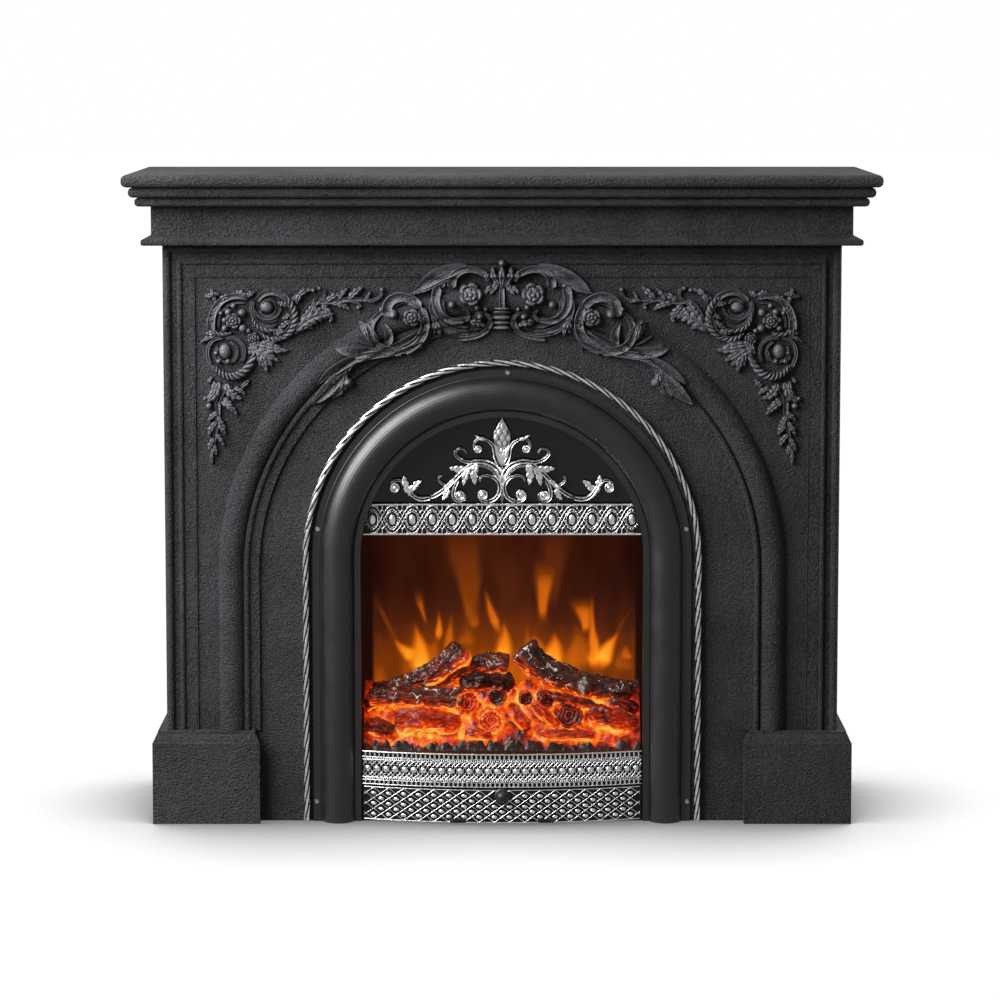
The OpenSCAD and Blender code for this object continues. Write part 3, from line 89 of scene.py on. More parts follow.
# The carved and cast forms by kind, in millimetres on the plane of the front:
# leaf: foot, tip, width, bend, lobes, rise; bud: middle, foot, tip, width, rise
# band: four points of its curve, width at both ends, rise; plait: the same, with its folds before the rise
# ball, rose: middle, radius, rise; ring, eye: middle, half width, half height, rise
CORNER = {"band": (
    (-464, 797, -469, 835, -444, 865, -405, 851, 14.5, 8.7, 9),
    (-453, 803, -455, 831, -437, 848, -409, 843, 5.2, 4.1, 7),
    (-392, 845, -381, 870, -340, 866, -333, 827, 8.7, 11.6, 10),
    (-333, 827, -330, 801, -351, 784, -374, 785, 12.7, 7.5, 10),
    (-397, 848, -407, 818, -383, 797, -359, 809, 8.7, 4.6, 9),
    (-392, 833, -388, 810, -366, 810, -358, 818, 4.6, 3.5, 7),
    (-387, 833, -386, 818, -366, 818, -361, 833, 5.2, 3.5, 10),
    (-386, 841, -379, 853, -366, 851, -361, 841, 5.2, 3.5, 9),
    (-397, 836, -394, 812, -356, 810, -353, 838, 6, 4.4, 8),
    (-445, 787, -476, 791, -479, 748, -453, 730, 7.5, 6.4, 9),
    (-444, 788, -418, 793, -403, 769, -417, 748, 8.7, 5.8, 10),
    (-435, 781, -420, 776, -419, 758, -430, 749, 5.2, 3.5, 8),
    (-453, 772, -463, 767, -461, 752, -453, 748, 5.2, 4.1, 8),
    (-456, 776, -462, 744, -424, 736, -425, 768, 5.4, 5, 9),
    (-332, 794, -321, 808, -317, 838, -293, 847, 5.8, 11.6, 10),
    (-330, 796, -315, 810, -310, 828, -299, 831, 4.1, 7.5, 9),
    (-293, 843, -279, 847, -280, 868, -293, 868, 8.1, 4.6, 9),
    (-294, 848, -272, 841, -246, 854, -220, 848, 10.4, 6.4, 8),
    (-248, 847, -229, 847, -221, 838, -230, 835, 6.9, 4.1, 8),
    (-223, 849, -205, 843, -188, 853, -192, 866, 7.5, 4.1, 8),
    (-435, 711, -457, 707, -462, 696, -455, 683, 8.7, 5.2, 9),
    (-431, 708, -448, 703, -451, 690, -451, 680, 5.8, 4.1, 8),
    (-455, 686, -453, 662, -459, 637, -463, 611, 9.3, 4.6, 8),
), "leaf": (
    (-450, 838, -467, 825, 15.4, 1.7, 3, 7), (-435, 854, -453, 845, 12.9, -2.1, 3, 7),
    (-409, 853, -425, 861, 12.9, -2.1, 3, 7), (-407, 853, -394, 862, 11.3, 1.3, 3, 7),
    (-342, 841, -359, 845, 11.3, 1.3, 3, 8), (-339, 827, -351, 818, 10.3, 1.3, 3, 8),
    (-340, 816, -358, 803, 11.3, 1.7, 3, 8), (-349, 801, -366, 795, 12.9, 1.7, 3, 8),
    (-455, 799, -474, 795, 12.9, 1.7, 3, 8), (-457, 791, -482, 780, 8.7, -1.7, 3, 7),
    (-457, 818, -472, 814, 11.3, -1.7, 3, 7), (-329, 799, -268, 826, 28, 8, 6, 10),
    (-322, 816, -300, 848, 17, -5, 4, 9), (-453, 716, -474, 684, 18, 5, 4, 9),
    (-441, 714, -416, 690, 20, -6, 4, 9), (-402, 770, -368, 742, 22, 5, 5, 9),
    (-400, 778, -346, 766, 18, 3, 5, 9), (-390, 773, -342, 768, 17, -2.1, 4, 9),
    (-388, 772, -356, 750, 15.4, -1.3, 4, 9), (-389, 769, -376, 732, 16, 1.3, 4, 9),
    (-392, 768, -387, 741, 11.8, 1.7, 3, 8), (-381, 780, -358, 772, 14.4, 2.6, 3, 9),
    (-398, 782, -405, 761, 12.9, 1.7, 3, 8), (-328, 843, -301, 865, 12.9, 7.3, 3, 9),
    (-334, 846, -325, 857, 8.7, 1.3, 2, 7), (-305, 834, -281, 819, 15.4, 3.9, 4, 9),
    (-288, 840, -271, 814, 14.9, 3, 4, 9), (-321, 803, -298, 819, 11.8, -2.6, 3, 8),
    (-316, 807, -302, 801, 8.7, 1.7, 3, 7), (-280, 846, -257, 858, 13.4, 2.1, 3, 9),
    (-272, 843, -242, 832, 12.9, 3, 4, 8), (-261, 848, -246, 868, 9.3, 1.3, 3, 8),
    (-244, 850, -222, 869, 14.4, 1.7, 3, 9), (-222, 848, -203, 843, 7.7, 1.7, 3, 7),
    (-216, 848, -209, 862, 7.2, 1.3, 2, 7), (-418, 709, -405, 721, 11.3, -1.7, 3, 8),
    (-461, 718, -475, 688, 12.9, 6.4, 3, 9), (-429, 707, -411, 696, 11.8, 2.1, 3, 8),
    (-469, 714, -463, 725, 8.7, 1.3, 2, 7), (-446, 690, -432, 674, 12.3, 1.7, 3, 8),
    (-449, 684, -424, 663, 14.4, 3, 4, 9), (-455, 667, -470, 654, 11.3, -1.7, 3, 8),
    (-455, 662, -443, 643, 11.8, -1.7, 3, 8), (-457, 652, -470, 630, 11.8, -2.1, 3, 8),
    (-455, 647, -443, 631, 11.3, 1.7, 3, 8), (-459, 632, -446, 613, 11.3, 2.1, 3, 8),
    (-461, 626, -470, 605, 10.8, -1.7, 3, 8), (-462, 615, -459, 598, 9.3, 1.3, 3, 7),
    (-463, 611, -465, 584, 8.2, -1.3, 3, 7), (-461, 855, -463, 867, 9.3, 0.9, 2, 8),
    (-462, 856, -476, 855, 9.8, 0.9, 2, 8), (-462, 857, -450, 857, 8.7, 0.9, 2, 8),
    (-461, 855, -457, 841, 8.7, 0.9, 2, 8),
), "ring": (
    (-376, 837, 11.5, 10, 10), (-443, 766, 10.5, 13.5, 10),
), "rose": (
    (-429, 815, 14.2, 13), (-397, 787, 10.7, 12),
), "ball": (
    (-415, 828, 7.3, 11), (-437, 829, 6.4, 10), (-443, 816, 5.1, 9), (-443, 803, 5.6, 9),
    (-414, 803, 7.3, 11), (-405, 799, 4.7, 9), (-449, 827, 4.3, 8), (-429, 839, 5.1, 8), (-457, 763, 4.3, 8),
    (-453, 750, 4.7, 8), (-438, 750, 4.7, 8), (-301, 864, 4.3, 9), (-291, 867, 3.9, 9), (-274, 815, 3, 8),
    (-229, 836, 3.9, 8), (-191, 865, 4.3, 9), (-475, 690, 3.9, 9), (-469, 678, 5.6, 9), (-462, 857, 3.9, 10),
), "plait": (
    (-460, 744, -448, 718, -412, 714, -394, 764, 12, 19, 11, 12),
    (-346, 853, -325, 838, -323, 800, -351, 787, 12, 15, 9, 11),
    (-350, 789, -362, 781, -376, 784, -386, 796, 13, 8, 5, 10),
    (-398, 826, -400, 806, -380, 794, -356, 801, 7, 10, 7, 10),
    (-466, 803, -458, 790, -440, 792, -432, 796, 7, 9, 5, 10),
)}

CREST = {"rose": (
    (-50, 858, 20.4, 16), (-143, 821, 16.3, 14),
), "band": (
    (-79, 867, -86, 896, -49, 912, -18, 882, 16.5, 9.4, 12),
    (-96, 868, -98, 890, -79, 898, -59, 900, 12.1, 9.9, 11),
    (-101, 870, -116, 839, -92, 806, -59, 816, 17.1, 9.4, 13),
    (-59, 816, -48, 820, -53, 834, -59, 833, 7.2, 3.9, 11),
    (-107, 855, -121, 823, -94, 794, -49, 796, 11, 8.3, 11),
    (-110, 847, -116, 806, -77, 782, -36, 796, 9.4, 6.1, 9),
    (-94, 851, -98, 823, -77, 802, -53, 806, 7.2, 5.5, 11),
    (-16, 806, -16, 829, -36, 835, -43, 823, 7.7, 4.4, 12),
    (-18, 817, -20, 794, -41, 786, -71, 785, 9.4, 6.1, 11),
    (-114, 806, -116, 786, -128, 784, -128, 768, 7.7, 3.3, 8),
    (-182, 822, -192, 857, -149, 863, -130, 837, 19.3, 14.9, 13),
    (-130, 837, -112, 806, -127, 780, -159, 767, 14.9, 19.3, 13),
    (-159, 767, -192, 762, -210, 780, -209, 798, 17.6, 11, 12),
    (-209, 798, -211, 815, -198, 823, -191, 831, 11, 7.2, 11),
    (-176, 831, -167, 847, -149, 847, -133, 835, 6.6, 4.4, 8),
    (-202, 772, -219, 779, -233, 787, -239, 792, 5, 2.8, 12),
    (-208, 776, -219, 792, -225, 800, -230, 803, 4.4, 2.8, 12),
    (-212, 768, -232, 772, -246, 776, -258, 776, 5, 2.8, 11),
    (-127, 780, -155, 762, -208, 764, -237, 754, 11, 15.4, 12),
    (-208, 761, -235, 758, -255, 741, -251, 717, 11, 11, 12),
), "leaf": (
    (-57, 901, -142, 856, 25, -9.4, 0, 12), (-66, 890, -128, 858, 15, -7, 0, 10),
    (-110, 870, -147, 859, 9.8, 2, 2, 9), (-51, 813, -26, 806, 14.7, 2.5, 3, 11),
    (-20, 878, -26, 896, 10.8, 1.6, 3, 11), (-16, 870, -26, 859, 9.8, -1.6, 2, 10),
    (-110, 823, -99, 792, 14.2, 2, 3, 10), (-112, 827, -108, 794, 9.8, 1.6, 3, 9),
    (-184, 772, -188, 812, 15, -6, 0, 10), (-178, 772, -126, 806, 18, -6.9, 0, 11),
    (-133, 817, -121, 819, 10.8, 0.8, 2, 10), (-215, 790, -225, 816, 12.3, -1.6, 3, 10),
    (-192, 769, -266, 772, 22, 6, 0, 10), (-200, 776, -229, 814, 20, -3, 0, 10),
    (-224, 758, -293, 715, 18, -5, 0, 11), (-250, 742, -304, 682, 25, 3.5, 0, 11),
    (-257, 726, -272, 690, 14, 3, 0, 10), (-251, 733, -262, 694, 16.2, 4.1, 3, 9),
), "ball": (
    (-80, 842, 6.4, 14), (-35, 823, 5.7, 13), (-40, 837, 4.9, 11), (-26, 834, 3.7, 10), (-174, 827, 8, 13),
    (-192, 833, 5.3, 12), (-246, 716, 8.6, 13),
)}

FRET = {"band": (
    (-3.9, 580.5, -18.3, 597.8, -4.6, 612.5, -27.5, 621.6, 11.1, 7.8, 3.2),
    (-25.9, 621.6, -43.9, 630.4, -50.4, 609.2, -40, 601.4, 7.8, 5.2, 3),
    (-22.6, 521.2, 0.3, 522.9, 3.6, 557.1, -19.3, 562, 9.8, 8.5, 3.2),
    (-19.3, 562, -29.1, 565.2, -38, 561, -35.4, 553.2, 7.8, 3.9, 3),
    (-22.6, 521.2, -39, 519.6, -42.2, 535.9, -30.8, 537.5, 8.5, 5.2, 3),
    (-0.7, 547.3, 2, 579.9, -27.5, 590.3, -49.8, 584.4, 12.4, 9.8, 3.4),
    (-5.2, 557.1, -14.4, 576.6, -34.1, 582.5, -47.2, 576.6, 5.9, 4.6, 3),
    (-47.2, 584.4, -63.5, 583.1, -81.5, 596.2, -73.4, 604, 9.1, 6.5, 3.2),
    (-73.4, 604, -66.8, 609.9, -58.3, 605.9, -57.6, 598.8, 5.9, 3.3, 3),
    (-45.5, 582.5, -73.4, 566.8, -86.5, 537.5, -115.9, 527.1, 9.8, 9.8, 3.2),
    (-115.9, 527.1, -132.3, 519.6, -147, 527.8, -151.3, 543.4, 11.1, 8.5, 3.2),
    (-151.3, 542.4, -158.5, 557.1, -174.9, 560.3, -178.8, 547.3, 7.8, 5.9, 3),
    (-178.8, 547.3, -180.8, 537.5, -170.9, 532.6, -166.7, 540.8, 4.6, 3.3, 3),
    (-84.8, 545.7, -99.6, 547.3, -107.7, 558.7, -96.9, 563.6, 7.2, 3.9, 3),
    (-70.1, 557.1, -86.5, 527.8, -76.6, 518, -62.9, 522.9, 9.1, 7.2, 3.2),
    (-62.9, 522.9, -55.3, 527.8, -60.3, 537.5, -68.4, 535.9, 6.5, 3.9, 3),
), "eye": (
    (-38.5, 606, 7.4, 7.4, 3.6), (-31, 532, 9.6, 9.6, 3.8), (-173, 543.5, 9.2, 9.2, 3.8),
    (-68, 531, 8.4, 8.4, 3.8),
), "leaf": (
    (-27.5, 620.6, -43.9, 628.8, 7.2, 1, 2, 3), (-40.6, 581.5, -43.2, 548.3, 15, -3.3, 3, 3.2),
    (-52.1, 576.6, -62.2, 546.6, 13.1, -2, 3, 3.2), (-57, 575, -85.1, 575.3, 13.1, 1.6, 3, 3),
    (-150.3, 534.3, -157.8, 562.9, 13.1, 1.6, 3, 3.2), (-145.4, 537.5, -129.7, 554.5, 13.1, 2.6, 3, 3.2),
    (-147, 547.3, -151.3, 529.4, 7.2, 1, 2, 3), (-86.5, 540.8, -96.9, 523.8, 11.1, 1.6, 3, 3.2),
    (-78.3, 557.1, -93, 540.8, 9.8, 1.3, 3, 3),
)}
TORCH = {"ring": (
    (0, 804, 15, 4.4, 9), (0, 812.5, 15, 4.4, 9), (0, 821, 16, 4.4, 9.5), (0, 829, 17, 3.6, 9.5),
    (0, 835, 14, 3.4, 9),
), "band": (
    (0, 834, 0, 850, 0, 862, 0, 876, 10, 8, 9),
), "leaf": (
    (0, 868, 0, 904, 13, 0, 1, 12), (-2, 870, -14, 902, 14, 5, 3, 10), (2, 870, 14, 902, 14, -5, 3, 10),
    (-8, 888, -20, 858, 12, 4, 3, 8), (8, 888, 20, 858, 12, -4, 3, 8),
), "ball": (
    (0, 908, 6, 12),
)}
FRET_MIDDLE = {"band": (
    (0, 518, 0, 545, 0, 560, 0, 584, 6, 5, 3), (0, 545, -2, 556, -6, 566, -8, 582, 4, 3, 2.6),
), "leaf": (
    (0, 580, 0, 612, 11, 0, 1, 3.2), (-2, 580, -12, 614, 10, -3, 1, 3.2), (2, 580, 12, 614, 10, 3, 1, 3.2),
), "bud": (
    (0, 606, 661, 32, 5.4),
)}

# Flames of the picture: foot, tip, width and brightness; the fans widen upwards, the tongues end in a point
FANS = (
    (-52, 300, -62, 480, 62, 0.4), (-50, 300, -54, 400, 40, 0.5), (70, 306, 70, 412, 42, 0.68),
    (80, 330, 96, 478, 52, 0.3), (136, 286, 134, 344, 36, 0.74), (-127, 300, -139, 356, 14, 0.58),
    (10, 300, 6, 440, 60, 0.24), (-170, 262, -212, 346, 10, 0.42),
)
TONGUES = (
    (-135, 232, -143, 300, 31, 0.92), (-152, 246, -179, 274, 20, 0.84), (-104, 284, -105, 322, 11, 0.74),
    (-87, 262, -84, 314, 17, 0.62), (-12, 304, -30, 358, 15, 0.7), (-46, 300, -46, 330, 14, 0.54),
    (3, 250, 4, 304, 23, 0.86), (84, 236, 86, 286, 34, 0.92), (150, 264, 149, 346, 12, 0.8),
    (128, 240, 122, 298, 46, 0.58), (153, 240, 156, 286, 19, 0.88), (170, 242, 192, 288, 25, 0.92),
    (207, 244, 206, 266, 17, 0.6), (180, 268, 218, 332, 8, 0.36), (42, 262, 42, 300, 14, 0.56),
    (-196, 232, -204, 290, 26, 0.4), (-118, 240, -112, 276, 26, 0.6), (60, 256, 52, 284, 22, 0.62),
    (-60, 270, -58, 300, 30, 0.5), (200, 230, 206, 262, 30, 0.5),
)


# ---------------------------------------------------------------- camera and light

def aim_camera():
    data = bpy.data.cameras.new("studio_camera")
    camera = bpy.data.objects.new("studio_camera", data)
    bpy.context.collection.objects.link(camera)
    camera.location = CAMERA_AT
    camera.rotation_euler = (radians(90 - CAMERA_DOWN), 0, 0)
    data.lens = CAMERA_LENS
    data.shift_y = CAMERA_SHIFT
    bpy.context.scene.camera = camera


def area_light(name, place, target, size, power):
    data = bpy.data.lights.new(name, "AREA")
    data.shape = "RECTANGLE"
    data.size, data.size_y = size
    data.energy = power
    light = bpy.data.objects.new(name, data)
    bpy.context.collection.objects.link(light)
    light.location = place
    light.rotation_euler = (Vector(target) - Vector(place)).to_track_quat("-Z", "Y").to_euler()


def light_studio():
    world = bpy.data.worlds.new("studio")
    bpy.context.scene.world = world
    world.use_nodes = True
    tree = world.node_tree
    background = tree.nodes["Background"]
    background.inputs["Color"].default_value = (1, 1, 1, 1)
    ray = tree.nodes.new("ShaderNodeLightPath")
    total = None
    for seen_by, strength in (("Camera", 1.0), ("Glossy", MIRRORED), ("Diffuse", AMBIENT)):
        share = tree.nodes.new("ShaderNodeMath")
        share.operation = "MULTIPLY_ADD"
        share.inputs[1].default_value = strength
        tree.links.new(ray.outputs["Is %s Ray" % seen_by], share.inputs[0])
        if total:
            tree.links.new(total, share.inputs[2])
        else:
            share.inputs[2].default_value = 0
        total = share.outputs[0]
    tree.links.new(total, background.inputs["Strength"])
    bpy.context.scene.view_settings.view_transform = "Standard"
    area_light("left_softbox", (-1.75, -0.95, 1.85), (-0.2, -0.1, 0.65), (2.0, 1.8), 150)
    area_light("right_fill", (2.9, 1.5, 1.7), (0.4, 0.15, 0.5), (1.6, 1.6), 90)
    area_light("top_strip", (0.1, 0.5, 3.6), (0.1, -0.1, 0), (2.4, 0.5), 42)


aim_camera()
light_studio()


# ---------------------------------------------------------------- finishes

def finish_base(name, colour, rough, metal=0.0):
    mat = bpy.data.materials.new(name)
    mat.use_nodes = True
    shader = mat.node_tree.nodes["Principled BSDF"]
    shader.inputs["Base Color"].default_value = (*colour, 1)
    shader.inputs["Roughness"].default_value = rough
    shader.inputs["Metallic"].default_value = metal
    return mat, shader


def put(mat, kind, links=(), **values):
    """A node of that kind with its settings, and links given as (socket, output)."""
    node = mat.node_tree.nodes.new("ShaderNode" + kind)
    for key, value in values.items():
        if key in node.inputs:
            node.inputs[key].default_value = value
        else:
            setattr(node, key, value)
    for socket, output in links:
        mat.node_tree.links.new(output, node.inputs[socket])
    return node


def object_place(mat, scale=(1, 1, 1), turn=(0, 0, 0)):
    where = put(mat, "TexCoord")
    placed = put(mat, "Mapping", [("Vector", where.outputs["Object"])], Scale=scale, Rotation=turn)
    return placed.outputs["Vector"]


def grain(mat, vector, scale, detail, rough=0.55):
    node = put(mat, "TexNoise", [("Vector", vector)], Scale=scale, Detail=detail, Roughness=rough)
    return node.outputs["Fac"]


def ramp(mat, value, stops):
    node = put(mat, "ValToRGB", [("Fac", value)])
    band = node.color_ramp
    while len(band.elements) < len(stops):
        band.elements.new(0.5)
    for element, (at, colour) in zip(band.elements, stops):
        element.position = at
        element.color = (*colour, 1)
    return node.outputs["Color"]


def grey(v):
    return (v, v, v)


def maths(mat, operation, first, second):
    """A Math node on two outputs, or on an output and a number."""
    node = put(mat, "Math", [(0, first)], operation=operation)
    if isinstance(second, (int, float)):
        node.inputs[1].default_value = second
    else:
        mat.node_tree.links.new(second, node.inputs[1])
    return node.outputs[0]


def between(mat, value, low, high, out_low, out_high):
    """The value carried from one range over to another."""
    node = put(mat, "MapRange", [("Value", value)])
    for socket, number in (("From Min", low), ("From Max", high), ("To Min", out_low), ("To Max", out_high)):
        node.inputs[socket].default_value = number
    return node.outputs["Result"]


def shade(colour, share):
    return tuple(min(1, c * share) for c in colour)


def tint(mat, shader, value, stops, socket="Base Color"):
    mat.node_tree.links.new(ramp(mat, value, stops), shader.inputs[socket])


def relief(mat, shader, heights, strength, distance):
    """Bump from several (value, weight) layers."""
    total = None
    for value, weight in heights:
        layer = maths(mat, "MULTIPLY", value, weight)
        total = maths(mat, "ADD", total, layer) if total else layer
    bump = put(mat, "Bump", [("Height", total)], Strength=strength, Distance=distance)
    mat.node_tree.links.new(bump.outputs["Normal"], shader.inputs["Normal"])


def cast_black(name, dark, light, rough=0.6, gloss=0.3, wear_and_painted_light=0.0, bite=0.008):
    """Charcoal paint over cast stone: fine pits, slanting grain and a faint mottle, and on carvings a painted
    highlight on raised parts and painted shade in the hollows.
    """
    mat, shader = finish_base(name, (dark, dark, dark * 1.08), rough)
    plain = object_place(mat)
    slanted = object_place(mat, (1, 1, 2.4), (0, radians(38), 0))
    pits = grain(mat, plain, 420, 2)
    streaks = grain(mat, slanted, 190, 3)
    mottle = grain(mat, plain, 9, 4)
    mixed = maths(mat, "MULTIPLY", mottle, streaks)
    shader.inputs["Specular IOR Level"].default_value = gloss
    mixed = maths(mat, "ADD", mixed, between(mat, pits, 0.5, 0.8, 0.0, 0.75))
    # Raised parts are painted lighter and hollows darker by the relief attribute: painted highlight on the
    # ridges and painted shade in the hollows, with a little edge wear.
    if wear_and_painted_light:
        proud = put(mat, "Attribute", attribute_name="relief").outputs["Fac"]
        mixed = maths(mat, "ADD", mixed, between(mat, proud, 0.25, 1.0, -wear_and_painted_light, wear_and_painted_light))
    tint(mat, shader, mixed, [(0.15, (dark, dark, dark * 1.15)), (0.42, (light, light, light * 1.12))])
    tint(mat, shader, pits, [(0.3, grey(rough - 0.08)), (0.7, grey(rough + 0.12))], "Roughness")
    relief(mat, shader, [(pits, 0.9), (streaks, 0.8), (grain(mat, plain, 60, 3), 0.6)], 0.9, bite)
    return mat


def worn_silver(name, dark, bright):
    """Antique silver, black in the hollows and bright on what stands out, by the piece's relief attribute."""
    mat, shader = finish_base(name, (bright, bright, bright), 0.3, 1.0)
    plain = object_place(mat)
    height = put(mat, "Attribute", attribute_name="relief").outputs["Fac"]
    soot = grain(mat, plain, 160, 4)
    level = maths(mat, "MULTIPLY", height, between(mat, soot, 0.3, 0.7, 0.62, 1.2))
    tint(mat, shader, level, [(0.2, grey(dark)), (0.4, grey(bright * 0.55)), (0.6, grey(bright))])
    tint(mat, shader, soot, [(0.3, grey(0.16)), (0.7, grey(0.36))], "Roughness")
    relief(mat, shader, [(soot, 1.0), (grain(mat, plain, 520, 2), 0.5)], 0.35, 0.0006)
    return mat


def satin(name, colour, rough, wave=0.0, scale=30, metal=0.0, gloss=0.5):
    """Smooth sheet, plastic or paint with a faint orange peel."""
    mat, shader = finish_base(name, colour, rough, metal)
    shader.inputs["Specular IOR Level"].default_value = gloss
    plain = object_place(mat)
    peel = grain(mat, plain, 700, 2)
    cloud = grain(mat, plain, scale, 3)
    tint(mat, shader, cloud, [(0.3, shade(colour, 0.85)), (0.7, shade(colour, 1.15))])
    tint(mat, shader, cloud, [(0.3, grey(max(0.05, rough - 0.04))), (0.7, grey(rough + 0.05))], "Roughness")
    relief(mat, shader, [(peel, 0.4), (cloud, wave)], 0.12, 0.0005)
    return mat


def raw_board(name):
    """Pale fibre board with a fine fleck."""
    mat, shader = finish_base(name, (0.32, 0.22, 0.13), 0.85)
    flecks = grain(mat, object_place(mat, (1, 1, 3)), 300, 5)
    tint(mat, shader, flecks, [(0.3, (0.24, 0.16, 0.09)), (0.7, (0.42, 0.3, 0.19))])
    relief(mat, shader, [(flecks, 1.0)], 0.3, 0.0006)
    return mat


def fire_finish(name, stops, strength, dark, rough, gloss, bump=0.0, char=0.0, painted_glint=0.0):
    """A lit picture, bark or embers: its own light by the piece's relief attribute over a dark surface, with
    char that breaks the light up and pale worm-like lines painted into the colour as highlights and raised a
    little in the bump."""
    mat, shader = finish_base(name, dark, rough)
    shader.inputs["Specular IOR Level"].default_value = gloss
    plain = object_place(mat)
    fleck = grain(mat, plain, 150, 4)
    level = put(mat, "Attribute", attribute_name="relief").outputs["Fac"]
    if char:
        flicker = grain(mat, object_place(mat, (1, 1, 1.6)), 75, 5, 0.65)
        level = maths(mat, "ADD", level, between(mat, flicker, 0.3, 0.7, -char, char))
    mat.node_tree.links.new(ramp(mat, level, stops), shader.inputs["Emission Color"])
    shader.inputs["Emission Strength"].default_value = strength
    if painted_glint:
        # Painted highlights: thin pale squiggles along the middle of a noise, over a patchy mask, painted
        # into the base colour and raised in the bump.
        bend = maths(mat, "ABSOLUTE", maths(mat, "SUBTRACT", grain(mat, plain, 46, 1), 0.5), 0)
        line = between(mat, bend, 0.008, 0.026, 1.0, 0.0)
        line = maths(mat, "MULTIPLY", line, between(mat, grain(mat, plain, 33, 2), 0.5, 0.54, 0.0, painted_glint))
        fleck = maths(mat, "ADD", between(mat, fleck, 0.0, 1.0, 0.0, 0.7), line)
        # The top stop is the pale colour of the painted highlights.
        stops = [(0.25, shade(dark, 0.5)), (0.52, shade(dark, 1.6)), (0.95, (0.62, 0.56, 0.5))]
    else:
        line = fleck
        stops = [(0.35, shade(dark, 0.5)), (0.7, shade(dark, 1.6))]
    tint(mat, shader, fleck, stops)
    if bump:
        along = object_place(mat, (0.3, 1, 1))
        rough_bark, pores = grain(mat, along, 110, 4), grain(mat, plain, 380, 3)
        relief(mat, shader, [(rough_bark, 0.8), (pores, 0.2), (line, painted_glint)], bump, 0.0026)
    return mat


# The carvings get a painted highlight on their raised parts and painted shade in their hollows, partly
# standing for edge wear.
CARVED = cast_black("carved_black", 0.007, 0.1, 0.42, 0.6, 0.2, 0.0018)
SILVER = worn_silver("antique_silver", 0.02, 0.96)
# Near-black backing behind the silver frets: painted shade standing in for the dark seen through and between
# them.
FRET_SHADE_BACKING = satin("fret_backing_painted_shade", (0.02, 0.02, 0.021), 0.4, 0.4, 80, 0.7)
FLAMES = fire_finish("flame_picture", [
    (0.0, (0.014, 0.003, 0.002)), (0.2, (0.07, 0.013, 0.004)), (0.42, (0.21, 0.038, 0.002)),
    (0.62, (0.62, 0.12, 0.004)), (0.8, (0.97, 0.27, 0.008)), (1.0, (1.0, 0.66, 0.06)),
], 1.0, (0.004, 0.002, 0.002), 0.8, 0.0)
# Bark with pale squiggles painted into its colour as highlights.
BARK = fire_finish("charred_bark", [
    (0.0, (0, 0, 0)), (0.26, (0.03, 0.003, 0.0)), (0.5, (0.34, 0.016, 0.0)), (0.78, (0.95, 0.11, 0.004)),
    (1.0, (1.0, 0.4, 0.03)),
], 1.0, (0.05, 0.017, 0.01), 0.28, 0.4, bump=1.0, char=0.17, painted_glint=1.0)
EMBERS = fire_finish("embers", [
    (0.0, (0, 0, 0)), (0.18, (0.045, 0.003, 0.0)), (0.38, (0.32, 0.012, 0.0)), (0.58, (0.88, 0.055, 0.002)),
    (0.8, (1.0, 0.22, 0.008)), (1.0, (1.0, 0.6, 0.1)),
], 0.9, (0.014, 0.006, 0.004), 0.36, 0.35, bump=0.8, char=0.19)


def paint(mat, *names):
    for name in names:
        for slot in nodes[name].material_slots:
            slot.material = mat


paint(cast_black("mantel_black", 0.01, 0.054), "shelf_board", "bed_moulding", "frieze_box", "frieze_moulding",
      "front_panel", "side_panel_left", "side_panel_right", "border_moulding", "arch_moulding", "plinth_left",
      "plinth_right")
paint(CARVED, "corner_ornament_left", "corner_ornament_right", "crest_ornament")
paint(raw_board("raw_board"), "wall_rail", "floor_rail", "corner_blocks")
paint(satin("satin_black", (0.005, 0.005, 0.006), 0.4, 0.2, gloss=0.72), "frame_left", "frame_right")
paint(satin("bright_screw", (0.5, 0.5, 0.51), 0.3, 0.1, 200, 0.9), "frame_screws")
paint(satin("zinc", (0.55, 0.56, 0.58), 0.35, 0.4, 90, 1.0), "cover_screws", "hinge_pins")
paint(satin("dark_sheet", (0.03, 0.03, 0.032), 0.45, 0.3, 12, 0.4), "firebox_shell", "base_tray",
      "rear_cover", "heater_shelf", "flap_brackets")
paint(satin("upper_sheet", (0.004, 0.004, 0.005), 0.16, 0.1), "upper_plate", "ember_stand")
# Painted shade: the near-black backing under the bowed band and the flap.
paint(FRET_SHADE_BACKING, "bowed_band", "fret_flap")
paint(satin("black_plastic", (0.014, 0.014, 0.015), 0.42), "flap_knob", "switch_bodies", "thermostat_dial",
      "cord_gland", "control_panel")
paint(satin("red_plastic", (0.55, 0.03, 0.02), 0.3), "rocker_flame", "rocker_heat_low", "rocker_heat_high")
paint(satin("pot_metal", (0.35, 0.35, 0.36), 0.45, 0.3, 60, 0.9), "thermostat_body", "fan_motor",
      "spindle_motor")
paint(satin("fan_aluminium", (0.7, 0.71, 0.72), 0.32, 0.2, 80, 1.0), "fan_wheel", "heater_duct",
      "flame_spindle")
paint(satin("heater_wire", (0.4, 0.27, 0.14), 0.4, 0.2, 200, 0.9), "heating_element")
paint(satin("bearing_brass", (0.62, 0.45, 0.2), 0.3, 0.2, 90, 1.0), "fan_bearing", "spindle_bearing")
paint(satin("circuit_board", (0.03, 0.16, 0.06), 0.4, 0.2, 200), "led_board", "control_board")
paint(satin("nylon", (0.62, 0.58, 0.48), 0.5), "board_standoffs")


# ---------------------------------------------------------------- modelling helpers, in millimetres

def clear():
    bpy.ops.object.select_all(action="DESELECT")


def whole_mesh(*steps):
    """Edit-mode steps on everything in the active object."""
    bpy.ops.object.mode_set(mode="EDIT")
    bpy.ops.mesh.select_all(action="SELECT")
    for step in steps:
        step()
    bpy.ops.object.mode_set(mode="OBJECT")


